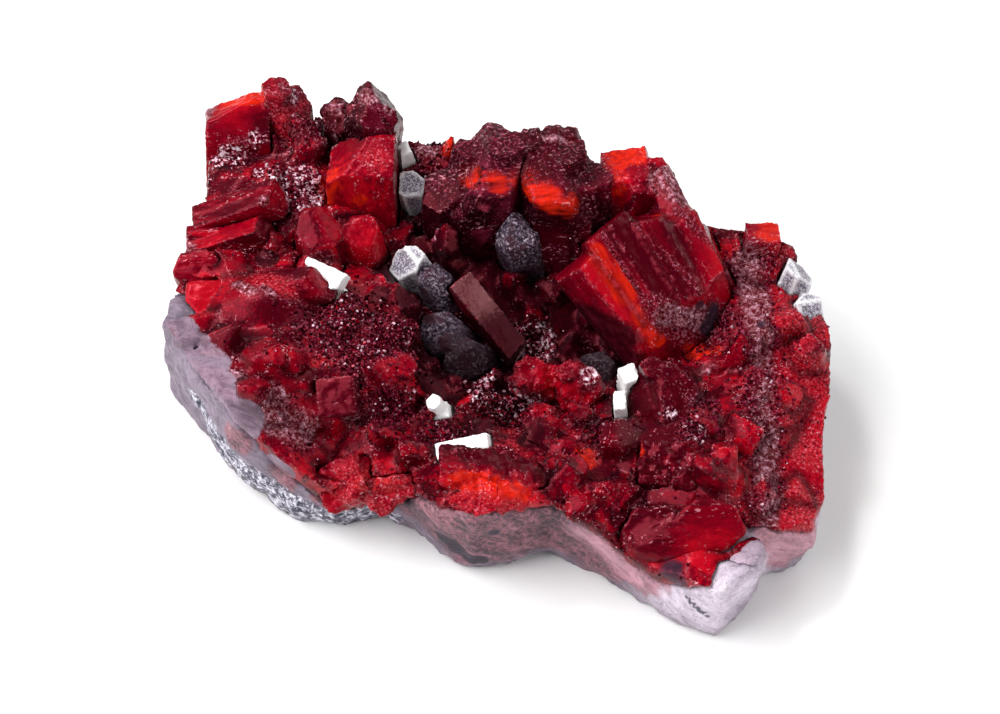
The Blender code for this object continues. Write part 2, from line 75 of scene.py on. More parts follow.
# Which finish each standing ruby has, and the way its striations run.
RUBY_FINISHES = {
    "striated_ruby": ("striated", STRIATED_WAY), "back_ruby": ("dim", UPRIGHT_WAY),
    "rose_ruby": ("rose", LEVEL_WAY), "dusky_ruby": ("dusky", LEVEL_WAY),
    "tower_ruby": ("dusky", UPRIGHT_WAY), "ember_ruby": ("ember", UPRIGHT_WAY),
    "corner_ruby": ("clear", LEVEL_WAY), "upper_blade": ("dim", LEVEL_WAY),
    "lower_blade": ("dim", LEVEL_WAY), "left_ruby": ("clear", LEVEL_WAY),
    "lens_ruby": ("clear", LEVEL_WAY), "twin_ruby": ("clear", UPRIGHT_WAY),
    "square_ruby": ("dull", LEVEL_WAY), "mauve_blade": ("mauve", STRIATED_WAY),
    "heart_ruby": ("clear", UPRIGHT_WAY), "deep_ruby": ("deep", UPRIGHT_WAY),
    "slope_ruby": ("deep", UPRIGHT_WAY), "tip_ruby": ("clear", LEVEL_WAY),
    "rim_ruby": ("ember", LEVEL_WAY), "front_ember": ("glowing", UPRIGHT_WAY),
    "front_ruby": ("clear", LEVEL_WAY),
}

# Rubies with low steps on their faces, with broken faces, with pale crystals on them, and with edges that
# are smoothed so many times.
STEPPED = ("rose_ruby", "dusky_ruby", "deep_ruby", "slope_ruby", "heart_ruby", "tower_ruby")
BROKEN = ("front_ember", "front_ruby", "slope_ruby", "heart_ruby")
GLITTERING = ("corner_ruby", "heart_ruby", "deep_ruby")
ROUNDED = {"lens_ruby": 60, "twin_ruby": 30, "left_ruby": 16, "tip_ruby": 25, "back_ruby": 6}

BLACK_CRYSTALS = [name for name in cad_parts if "black_crystal" in name]
WHITE_CRYSTALS = [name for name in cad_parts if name.startswith("white_crystal")]
FROSTED_CRYSTALS = [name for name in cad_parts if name.startswith("frosted_crystal")]

# Where the specimen's colour changes, in millimetres: each patch has a middle, or two ends, and a reach.
PATCHES = {
    # Painted glow: the red turns to orange where light comes through.
    "ember": (
        (-47, 12.5, 23.5, -43, 14.5, 24.5, 1.5), (4, 25, 22, 7, 27.5, 23.5, 2), (7, 23.5, 22, 1.6),
        (4, 22, 20, 1.6), (-29, 6.5, 18, -27, 8, 21, 1.6), (-23.5, 7.5, 19, 1),
        (-11, 15.5, 22.5, -6.5, 15, 23.5, 1.7), (-4, 16.5, 24.5, 1, 16, 23, 1.8), (3, 16.5, 22.5, 1.5),
        (9.5, 12.5, 20, 15, 9.5, 18, 1.5), (17.5, 8.5, 16.5, 20.5, 7, 14.5, 1.2),
        (25, 9, 12.5, 28, 9.5, 12.5, 1.3), (13, 21, 23, 14.5, 19.5, 23.5, 0.9), (20, -13, 12, 1.6),
        (26, -11, 15, 1), (9, -25.5, 15, 16, -23.5, 15, 1.7), (-3, -28, 11, 1.6), (0, -27, 11, 1.2),
        (28, 26, 21, 2), (-16.5, 20.5, 21.5, 2),
    ),
    # Painted light: bright crimson where light falls on the faces.
    "lit": (
        (-45, 12, 23, 2.4), (7, 25, 22, 4), (-25, 8, 21, 3), (10, -3, 12, 2), (-19, 2, 18, 3),
        (9, -26, 14.5, 17, -24, 14, 2.6), (-2, -28, 10, 3.5), (24, 16, 17, 22, 21, 20, 2.4),
        (9, 12, 19, 20, 6, 13, 2), (-34, -14, 17, 3), (38, -18.5, 12, 41, -17, 12, 2.6),
        (-34, -14, 18, 2.4), (40, 6, 14, 44, 0, 11, 5), (45, -6, 11, 4), (34, 18, 16, 4),
    ),
    # Painted shade: deep red where shade falls.
    "shade": (
        (11.5, 14, 23.5, 20, 11.5, 19.5, 1.7), (17.4, 18, 22.7, 22.7, 15.6, 19.1, 1.3), (24, -2, 13.5, 4.5),
        (27.5, -7.5, 14, 2), (22, -9, 13, 3), (28, 1, 13, 3), (22, -15, 10, 3),
        (-40, 11, 21.5, -36, 13.5, 21.5, 2.2), (-45, 8, 20, -41, 8.5, 20, 1.6), (-29, 15, 22.5, 2.5),
        (-15, 14, 20.5, -11, 12.5, 19.5, 2.6), (-9, 12, 19, 2.4), (0, 13.5, 20.5, 4, 16, 21, 2),
        (-38, -4, 17.5, -32, -2, 18, 1.2), (-40, 3, 17, -34, 4, 17, 2.6), (-22, -14, 15.5, 3),
        (-30, 1, 17, 2.4), (-9, -20, 14, 1.4), (7, 26, 17, 3.5), (13, 26, 20, 4.5), (-12.5, 11.5, 18, 4),
        (-8.5, 11, 20, 2), (-24, -12, 18, 3), (31, -18, 12, 3.5), (-27, -19, 18, 3), (9, -15, 10, 4),
        (5.5, -22, 17, 12.5, -19, 15, 2.4),
    ),
    # Painted shade: almost black in the hollow and the gaps between crystals.
    "dark": (
        (9, 7, 7, 6), (4, -4, 7, 6), (0, 1, 6, 7), (-2, -5, 8, 5), (14, 5, 8, 5), (9, -8, 8, 4),
        (3, -9, 8, 4), (-6, -7, 10, 3.5), (12, 11, 11, 3.5), (20, 3, 10, 3), (26, 5, 12, 2),
        (-30, -6, 17, 1.6), (-16, 3, 12, 3.5), (-13, 10, 14, 4), (0, 9, 9, 3), (18, 4, 11, 3),
        (-6, 8, 11, 3.5), (-10, 9, 14, 4), (-5.5, 9.5, 12.5, 3.5), (0.5, 9.5, 11, 3.5),
        (5, 10.5, 10.5, 3.2), (-10.5, -1.5, 14.5, 3), (-0.5, 7, 9.5, 3), (-4, -9.5, 11, 3.8),
        (-1, -10, 10, 3.8), (3.5, -4.5, 7, 4), (5.5, -14, 12.5, 2.6), (-12, 10.5, 15, 2.5),
        (-17, 12.5, 14.5, 2.5), (17, -19, 13.5, 1.6), (8.5, 9.5, 8.5, 3), (10.5, 8.5, 7, 3.5),
        (14, 7.5, 7.5, 3.5), (10.5, 8, 13.5, 16.5, 6, 14, 2.3), (7, -9.5, 11.5, 2.8), (13, 6, 9, 3.5),
        (10, 2, 8, 4), (12.5, -13.5, 13.5, 2), (-15, -3, 15.5, 1.6),
    ),
    # Dusty crusts of pink, grey and dark grains.
    "dust": (
        (-42, 8, 19, 2), (-39, 16, 24, 2), (-35, 15, 22, 3), (-33, 14, 23, 1.5), (-32, 5, 18, 3.2),
        (-16, -8, 17, -17, -12, 16, 4), (-9, -9, 15, -12, -13, 15, 4.2), (-24, -2, 17, 1.6),
        (9.5, 13.5, 22.7, 18.3, 8.9, 18.2, 0.5), (12.9, 16.2, 24.3, 23.8, 12.8, 19.6, 0.6),
        (15.2, 22.9, 22, 19, 19.7, 23.9, 0.9), (19, 19.7, 23.9, 24, 18.5, 19.5, 0.8),
        (19.5, 8.5, 18, 23.5, 9.5, 15.5, 2.2), (23.5, 10, 15.5, 26, 13, 15, 2.6), (16, 24, 25, 1.6),
        (-22, 18.5, 19.5, -18, 20.5, 19.5, 1.6), (-12, 20, 25.5, -6.5, 18, 26, 3),
        (-3.5, 20, 26, 2, 23, 24, 4), (5, 19, 20, 7, 20, 18, 2.6), (27, 23, 18, 30, 17, 17, 2.4),
        (30, 17, 17, 34, 10, 16, 2.4), (34, 10, 16, 37, 3.5, 15, 2.4), (37, 3.5, 15, 41.5, -5, 11.5, 2.2),
        (41.5, -5, 11.5, 43, -10, 11.5, 2), (25, 20, 17.5, 2), (3, 5, 7, 2.4), (5, -8, 10, 3.6),
        (10, -8, 9, 3), (15, -2, 13, 1.6), (-26, -12, 17, 1.4), (-13, -27, 13, 2), (-17, -26, 16, 2.5),
        (-13, 16, 25, 3), (-5, -17, 13, 3), (-4, 12, 17, 2.5), (20, -8, 10, 3), (31, -5, 14, 30, 0, 14, 2),
        (2, -17, 11, 2.5), (-18, 17, 20, 2), (-14, 14, 20.5, -12, 13, 19.5, 2),
    ),
    # Coarse bright red, like sugar.
    "sand": (
        (38, 10, 14, 41, 11, 14, 4), (41, 2, 12, 45, 4, 11, 4.5), (45, -6.5, 11, 47.5, -6, 10, 3.5),
        (9, -27.5, 14, 17, -25, 13.5, 1.6), (-5, -28.5, 10.5, 0, -27, 11, 3), (33, 19, 17, 37, 15, 16, 4),
        (30, 24, 18, 2.5), (-23, 12, 23, 2), (-38, 15, 22, 3), (-30, -11, 18, -25, -10, 17.5, 2),
        (8, -15, 10, 14, -17, 10, 3),
    ),
    # Clusters of the palest crystals.
    "glitter": (
        (-42, 7, 19, 1.6), (-41, 10, 20.5, 1.1), (-44, 5, 19, 1.1), (-37.4, 5.5, 19.6, 1.1),
        (-32.5, 5.5, 19, 3.4), (-30.5, 4.5, 18, 2.4), (-33, 8.1, 19, 1.4), (-43.5, 6.7, 19.8, 1.2),
        (3.5, 5.5, 7, 2.9), (2, 3, 7, 2.2), (5, -8, 9, 3.2), (9, -7, 8, 2.6), (15, -1.6, 13.5, 1.2),
        (1.5, -5, 9, 1.8), (4, -10.5, 12, 1.5), (6.4, -5.6, 9.2, 1.4), (6.5, -9.5, 12, 2), (4, 6, 7, 2),
        (-39, 16.5, 24, 1.2), (31, -4, 14, 1.8), (27, -3, 14, 1), (12, 3.5, 9.5, 1), (-10, -12, 15, 1),
        (21.5, -9, 11, 1.2), (-13, 9, 16, 1),
    ),
    # A smooth lilac bloom.
    "bloom": (
        (-48.5, 10, 21, -48, 6, 19, 1.8), (-27.5, 18, 28, 1.5), (-24.6, 18, 26.4, 0.9), (-32, 17, 24, 1.3),
        (-31, 13, 22, 1), (-37, 3.5, 18.5, 1.3), (-40.5, -9, 17.5, 1.2), (-33, -1, 22.5, 0.9),
        (-31, -12.2, 18.8, -28.2, -12.8, 19, 0.8), (-27, -11.6, 19, -25.2, -12.2, 18.6, 0.6),
        (26.5, 22, 18, 30, 17, 17, 2), (30, 17, 17, 34, 10, 16, 1.7), (34, 10, 16, 41.5, -5, 12, 1.6),
        (41.5, -5, 12, 44, -11, 11, 1.5), (21, 9, 17.5, 25, 12.5, 15.5, 1.7), (-4, -24, 12, 1.2),
        (-13, -26, 14, 2.2), (-18, -25, 16, 2.2), (-8, -22, 13, 1.6), (-23, -25.5, 18, 1.6),
        (-16, -27.5, 15, 2), (15.5, 24, 25, 1.5), (28, 6, 14, 1.4), (-13, -8, 17, -14, -11, 17, 1),
        (-21, 18.9, 19.8, -19, 19.6, 19.8, 1), (-3, 22, 27.5, 3, 25, 24.5, 0.8),
        (12.5, 25, 24, 16, 23.5, 24.5, 1.8),
    ),
    # Blue-black spots.
    "ink": (
        (-47, 8.3, 21.5, 1.1), (25.4, 13.9, 15.9, 25.6, 12, 14, 1), (24.1, 12.3, 17.8, 0.7),
        (36, -22.5, 10.5, 1.7), (37.4, -22.8, 9.6, 1.3), (14, -26.5, 9.5, 0.8),
        (6.5, -29, 6.5, 12.5, -27.2, 3.2, 1.1), (39, -23.4, 7.4, 39.8, -23.3, 6.7, 0.36),
        (40.2, -23.3, 6.3, 41.5, -23, 5.2, 0.42), (38, -23.4, 8.4, 38.6, -23.4, 8.1, 0.3),
        (44.5, -19, 10, 0.6), (27.5, 11, 15, 0.9), (-27, -20, 18, 0.8), (42.5, -10, 11.5, 0.7),
        (32, 14, 16.5, 0.6), (-16, -10, 16.5, 0.8), (2, -26, 8, 1),
    ),
    # The marble comes up over the side of the crust.
    "stone": (
        (-28, -26, 17, 4), (-31, -24, 17, 3.4), (-34, -22, 17, 3), (-20, -30, 16, 3.2), (-24, -28, 16, 3.6),
        (-14, -31, 11, 2.4), (-42, -16, 14, 3), (-46, -8, 12, 2.5), (-48, 1, 12, 2.5),
        (44.5, -17, 12, 45, -15.5, 12, 1.7), (43, -18.5, 12, 1.1), (45.8, -14, 11.6, 1.4),
    ),
    # The marble turns brownish pink.
    "blush": (
        (10, -28, 8, 6), (15, -26, 8, 6), (19, -22, 8, 5), (4, -27, 9, 5), (26, -21, 7, 6), (32, -22, 7, 4),
        (47, -10, 11, 4.5), (48, -10, 6, 4.5), (-20, -29, 12, 2.5), (-14, -31, 9, 2.5), (-8, -31, 8, 2),
    ),
    # The palest marble.
    "pale": (
        (36, -23, 5, 44, -19, 8, 3.5), (42, -23, 5, 42, -23, 11, 4), (46, -11, 6, 49, -8, 8, 4),
        (24, -21, 9, 32, -22, 5, 1.6),
    ),
    # Grey and black grit on the marble.
    "grit": (
        (-26, -29, 7, -12, -31, 3, 3.2), (-12, -31, 3, -2, -28, 2, 3.4), (-31, -27, 9, -26, -29, 6, 2.4),
        (38, -22, 11, 1.4), (43, -14, 9, 1.2), (-6, -29.5, 5, 1.6),
    ),
    # Smooth places, where no other crystals stand.
    "calm": (
        (-32, -13, 17, -24, -10, 17, 5), (25, -4, 14, 5), (36, -18, 12, 5), (-24, -24, 18, -14, -26, 15, 4),
        (-36, -3, 19, 4), (41, 3, 12, 46, -6, 10, 6), (-16, -8, 17, -10, -13, 15, 5), (39, 10, 14, 4),
        (22, -9, 13, 3),
    ),
}

PATCH_FADE = 0.7           # a patch's value falls to a half at its reach
PATCH_EDGE = 0.51          # and a finish that follows it ends about there

# The patches that each finish reads, and the values that decide where small crystals stand.
RUBY_PATCHES = ("ember", "lit", "shade", "dark", "dust", "sand", "glitter", "bloom", "ink")
MARBLE_PATCHES = ("blush", "grit", "pale")
SITE_VALUES = ("lit", "dark", "bloom", "dust", "sand", "glitter", "stone", "calm", "ridge")

# Smooth rounded crystals in a piece: the middle and the three radii, in millimetres, the first along
# the way.
DOMES = (
    ("ruby_crust", (-27.7, -12.4, 13.2), (8.6, 6.2, 5.9), LEVEL_WAY),
    ("ruby_crust", (-32.4, -21.2, 15.9), (2.6, 2.0, 1.6), LEVEL_WAY),
    ("ruby_crust", (43.8, -16.3, 10.9), (2.2, 2.0, 1.2), LEVEL_WAY),
    ("tip_ruby", (35.0, -16.5, 8.7), (8.0, 4.5, 4.7), LEVEL_WAY),
    ("front_ember", (12.3, -24.4, 12.8), (6.2, 2.4, 2.2), LEVEL_WAY),
)

# Larger crystals that stand or lie in a piece: the middle, length and width, in millimetres, and the way.
ADDED = {
    "ruby_crust": (
        ((-35.4, -6.8, 15), 9.6, 6, LEVEL_WAY), ((-39.4, 4.2, 16.4), 9.6, 6, LEVEL_WAY),
        ((-35.3, 13.5, 19), 9.6, 6, UPRIGHT_WAY), ((-31.4, 8.2, 17.8), 9.6, 5, LEVEL_WAY),
        ((-11.3, 9.5, 13.5), 9.6, 5, UPRIGHT_WAY), ((3.8, 11.3, 9.6), 6, 4, UPRIGHT_WAY),
        ((28.9, -0.6, 10.1), 15.6, 7, STRIATED_WAY), ((34.2, -9, 10.8), 9.6, 5, STRIATED_WAY),
        ((6.3, -15, 8.8), 12, 6, LEVEL_WAY), ((-15.2, -23.3, 12.1), 15.6, 7, LEVEL_WAY),
        ((-20.7, -20.1, 13.6), 10.8, 6, STRIATED_WAY), ((26.5, 23.1, 15.4), 10.8, 5, LEVEL_WAY),
        ((18.5, -14.9, 8.3), 10.8, 6, LEVEL_WAY), ((-4.4, -18.8, 9.8), 9.6, 5, LEVEL_WAY),
        ((16, 19.2, 13.5), 8.4, 7, STRIATED_WAY), ((9.9, 0.3, 6.6), 7.2, 4, STRIATED_WAY),
        ((0, 8.4, 7.9), 7.2, 3, LEVEL_WAY), ((4.9, -2.7, 5), 7.2, 3, STRIATED_WAY),
        ((10, 6.4, 5.3), 7.2, 4, LEVEL_WAY), ((-16.8, 20.4, 19.4), 7, 3.2, UPRIGHT_WAY),
    ),
    "rose_ruby": (((-7.7, 18.8, 22.8), 8.4, 6.5, LEANING_WAY), ((-12.6, 17.3, 20.6), 8.4, 6, LEANING_WAY)),
    "dusky_ruby": (
        ((0.2, 21.8, 22.4), 8.4, 7, LEANING_WAY), ((3.3, 21.1, 19.4), 8.4, 7, LEANING_WAY),
        ((4.4, 21.2, 19.3), 9, 6.5, LEANING_WAY), ((-5, 20.8, 22.6), 9, 5, LEANING_WAY),
    ),
    "striated_ruby": (((13.5, 24.2, 22.2), 6.5, 6, STRIATED_WAY),),
    "lower_blade": (((-39.6, -5.8, 17.2), 4.6, 3.4, LEVEL_WAY),),
    "back_ruby": (((10.2, 25.4, 18.4), 10.5, 8.2, LEANING_WAY),),
    "corner_ruby": (((-40.9, 15.3, 22.3), 7.4, 5.5, LEANING_WAY),),
    "white_crystal_left": (((-21.6, -5.1, 18.4), 6.4, 3.0, (-0.98, 0.2, 0.06)),),
    "white_crystal_low": (((-0.2, -14.3, 12.2), 3.8, 2.8, (-0.15, -0.3, 0.95)),),
}

# Shapes of crystals one unit across: the sides, the tilts of the cuts over the top, in degrees, and how
# wide the top is beside the foot.
SHOOT_SHAPES = ((6, (12,), 0.95), (4, (20,), 0.95), (4, (8,), 1.0), (6, (30, 20), 0.95))
STEP_SHAPES = ((6, (3,), 0.97), (4, (2,), 0.98), (5, (4,), 0.96))
DRUSE_SHAPES = ((6, (28,), 0.9), (4, (20,), 0.9), (4, (35, 30), 1.0), (5, (45,), 0.95))
ADDED_SHAPES = {
    "ruby_crust": ((6, (35, 25), 0.9), (5, (50, 30), 0.9)),
    "white_crystal_left": ((6, (10,), 0.35),),
}
ADDED_SHAPE = ((6, (10,), 0.85),)          # for the other pieces
CRYSTAL_ROOT = 0.4                         # how far such a crystal reaches below its origin
CRYSTAL_TOP = 0.8                          # and above it, at the middle of its top
EVEN_TURN = 0.25                           # neighbours that face nearly the same way

# The finest edges and facets that are told apart on a crystal.
NEARLY_FLAT = 3                            # degrees between facets that are merged into one
LARGE_FACET = 0.8 * MM**2                  # smaller facets all have the middle tone
BLUNT_EDGE = 0.94                          # cosine of the angle past which an edge isn't seen
EDGE_SPACING = 0.4 * MM
# The painted highlight reaches so far from a ridge, and the painted shade so far from a crease.
EDGE_REACH = {"ridge": 0.4 * MM, "crease": 0.8 * MM}

# What light does in ruby.
RUBY_IOR = 1.76
PASSED_COLOUR = (0.93, 0.02, 0.03)
ABSORPTION = 300.0
BIT_SIZE = 1.3                             # the angular bits that a broken face is made of

# The camera: what it looks at, and from where.
AIM = Vector((2.87, -2.92, 12.0)) * MM
CAMERA_AZIMUTH = 27
CAMERA_ELEVATION = 50
CAMERA_DISTANCE = 0.306944
CAMERA_LENS = 85
SENSOR_WIDTH = 36

# The lamps, turned to the middle of the floor: where each stands, its width and its power in watts.
LAMPS = (
    ("key", (-0.3, -0.2, 0.36), 0.5, 3.9),
    ("back", (0.12, 0.4, 0.3), 0.4, 0.6),
    ("fill", (0.38, 0.0, 0.2), 0.3, 0.8),
    ("glint", (-0.22, 0.12, 0.42), 0.08, 0.7),
)
WORLD_LIGHT = 0.28


# Objects and meshes.


def select_only(obj):
    bpy.ops.object.select_all(action="DESELECT")
    obj.select_set(True)
    bpy.context.view_layer.objects.active = obj


def apply_modifiers(obj):
    select_only(obj)
    for modifier in list(obj.modifiers):
        bpy.ops.object.modifier_apply(modifier=modifier.name)


def add_object(name, data):
    obj = bpy.data.objects.new(name, data)
    bpy.context.scene.collection.objects.link(obj)
    return obj


def merged_copy(node, name):
    """A new object with the CAD node's mesh, its loose triangles merged into flat facets."""
    piece = add_object(name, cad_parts[node].data.copy())
    piece.data.materials.clear()
    select_only(piece)
    bpy.ops.object.mode_set(mode="EDIT")
    bpy.ops.mesh.select_all(action="SELECT")
    bpy.ops.mesh.remove_doubles(threshold=MERGE)
    bpy.ops.mesh.dissolve_limited(angle_limit=math.radians(NEARLY_FLAT))
    bpy.ops.object.mode_set(mode="OBJECT")
    return piece


def remesh(piece, voxel):
    """Grows all that is joined in the piece together into one closed skin of small faces."""
    modifier = piece.modifiers.new("Grown", "REMESH")
    modifier.mode = "VOXEL"
    modifier.voxel_size = voxel
    apply_modifiers(piece)


def roughen(piece, size, depth, kind="CLOUDS", group="", along=None, stretch=1.0):
    """Moves the surface in and out by a noise of that size, drawn out along a direction if one is given."""
    texture = bpy.data.textures.new(piece.name, kind)
    texture.noise_scale = size
    modifier = piece.modifiers.new("Roughened", "DISPLACE")
    modifier.texture = texture
    modifier.strength = depth
    modifier.mid_level = 0.5
    modifier.vertex_group = group
    modifier.texture_coords = "LOCAL"
    guide = None
    if along is not None:
        guide = add_object("guide", None)
        turn = Vector(along).to_track_quat("Z", "Y").to_matrix().to_4x4()
        guide.matrix_world = turn @ Matrix.Diagonal((1, 1, stretch, 1))
        bpy.context.view_layer.update()
        modifier.texture_coords = "OBJECT"
        modifier.texture_coords_object = guide
    apply_modifiers(piece)
    if guide is not None:
        bpy.data.objects.remove(guide)


def round_off(piece, times):
    """Smooths the edges away, the further the more times it is done."""
    modifier = piece.modifiers.new("Rounded", "SMOOTH")
    modifier.factor = 0.5
    modifier.iterations = times
    apply_modifiers(piece)


def close_gaps(piece, reach, voxel):
    """Fills the grooves narrower than twice the reach: the surface swells by it and shrinks back."""
    for step in (reach, -reach):
        modifier = piece.modifiers.new("Swollen", "DISPLACE")
        modifier.strength = step
        modifier.mid_level = 0
        apply_modifiers(piece)
        remesh(piece, voxel)


def smooth(piece, degrees):
    """Shades smoothly, apart from the edges that are sharper than that."""
    select_only(piece)
    bpy.ops.object.shade_smooth_by_angle(angle=math.radians(degrees))


def join(piece, *others):
    select_only(piece)
    for other in others:
        other.select_set(True)
    bpy.ops.object.join()


def finish_piece(piece, finish, slot, *nodes):
    piece.data.materials.clear()
    piece.data.materials.append(finish)
    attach(piece, "root")
    if nodes:
        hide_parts(*nodes)


def points_of(mesh):
    points = np.empty(len(mesh.vertices) * 3)
    mesh.vertices.foreach_get("co", points)
    return points.reshape(-1, 3)


def face_tree(mesh):
    """The mesh's faces, laid out so that rays and nearest faces are found fast."""
    return BVHTree.FromPolygons(points_of(mesh).tolist(), [tuple(face.vertices) for face in mesh.polygons])


def unit(vectors):
    return vectors / np.linalg.norm(vectors, axis=1)[:, None]


def read(mesh, name):
    values = np.empty(len(mesh.vertices))
    mesh.attributes[name].data.foreach_get("value", values)
    return values


def write(mesh, name, values):
    mesh.attributes.new(name, "FLOAT", "POINT").data.foreach_set("value", values)


def nearness(mesh, name):
    """How far inside the patches of that name each point is, from 0 to 1."""
    points = points_of(mesh) / MM
    most = np.zeros(len(points))
    for *ends, reach in PATCHES[name]:
        start = np.array(ends[:3], dtype=float)
        way = np.array(ends[-3:]) - start
        along = np.clip((points - start) @ way / max(way @ way, MERGE), 0, 1)
        away = np.linalg.norm(points - start - along[:, None] * way, axis=1)
        most = np.maximum(most, np.exp(-((away / reach) ** 2) * PATCH_FADE))
    return most


def note_patches(piece, *names):
    """Stores at each point how far inside the patches it is, for the material to read."""
    for name in names:
        write(piece.data, name, nearness(piece.data, name))


def at_points(mesh, name):
    """A value stored at each point, or worked out there if it is a patch that isn't stored."""
    if name in mesh.attributes:
        return read(mesh, name)
    return nearness(mesh, name) if name in PATCHES else np.zeros(len(mesh.vertices))


class Facets:
    """The flat facets of a crystal and the edges between them, as they are before it is remeshed."""

    def __init__(self, mesh, rng):
        self.faces = face_tree(mesh)
        areas = np.array([face.area for face in mesh.polygons])
        self.tones = np.where(areas > LARGE_FACET, rng.random(len(areas)), 0.5)
        self.edges = {name: self.tree_of(points) for name, points in self.edge_points(mesh).items()}

    @staticmethod
    def edge_points(mesh):
        """Points along the ridges, which stand out, and along the creases between facets."""
        sides = {}
        for face in mesh.polygons:
            for key in face.edge_keys:
                sides.setdefault(key, []).append(face)
        found = {"ridge": [], "crease": []}
        for (start, end), faces in sides.items():
            if len(faces) != 2 or faces[0].normal.dot(faces[1].normal) > BLUNT_EDGE:
                continue
            first, last = mesh.vertices[start].co, mesh.vertices[end].co
            stands_out = (faces[1].center - faces[0].center).dot(faces[0].normal) < 0
            steps = max(1, round((last - first).length / EDGE_SPACING))
            points = [first.lerp(last, step / steps) for step in range(steps + 1)]
            found["ridge" if stands_out else "crease"].extend(points)
        return found

    @staticmethod
    def tree_of(points):
        tree = KDTree(len(points))
        for index, point in enumerate(points):
            tree.insert(point, index)
        tree.balance()
        return tree if points else None

    def note(self, mesh):
        """Stores at each point the tone of its facet and how near it is to a ridge or a crease."""
        points = [vertex.co.copy() for vertex in mesh.vertices]
        write(mesh, "facet", [self.tones[self.faces.find_nearest(point)[2]] for point in points])
        for name, tree in self.edges.items():
            if tree is None:
                write(mesh, name, [0.0] * len(points))
            else:
                away = np.array([tree.find(point)[2] for point in points])
                write(mesh, name, np.exp(-((away / EDGE_REACH[name]) ** 2)))


# Shaders.


class Value:
    """A number in a shader. Python's operators on it add Math nodes."""

    def __init__(self, shader, socket):
        self.shader = shader
        self.socket = socket

    def math(self, operation, *others):
        node = self.shader.node("ShaderNodeMath", {"operation": operation}, *others)
        return Value(self.shader, node.outputs[0])

    def __add__(self, other):
        return self.math("ADD", self, other)

    __radd__ = __add__

    def __mul__(self, other):
        return self.math("MULTIPLY", self, other)

    __rmul__ = __mul__

    def __sub__(self, other):
        return self.math("SUBTRACT", self, other)

    def __rsub__(self, other):
        return self.math("SUBTRACT", other, self)

    def absolute(self):
        return self.math("ABSOLUTE", self)

    def between(self, low, high):
        """0 below low, 1 above high and a smooth step between."""
        node = self.shader.node(
            "ShaderNodeMapRange", {"interpolation_type": "SMOOTHSTEP"}, self, low, high
        )
        return Value(self.shader, node.outputs[0])

    def limited(self):
        """Kept from 0 to 1."""
        node = self.shader.node("ShaderNodeClamp", {}, self)
        return Value(self.shader, node.outputs[0])


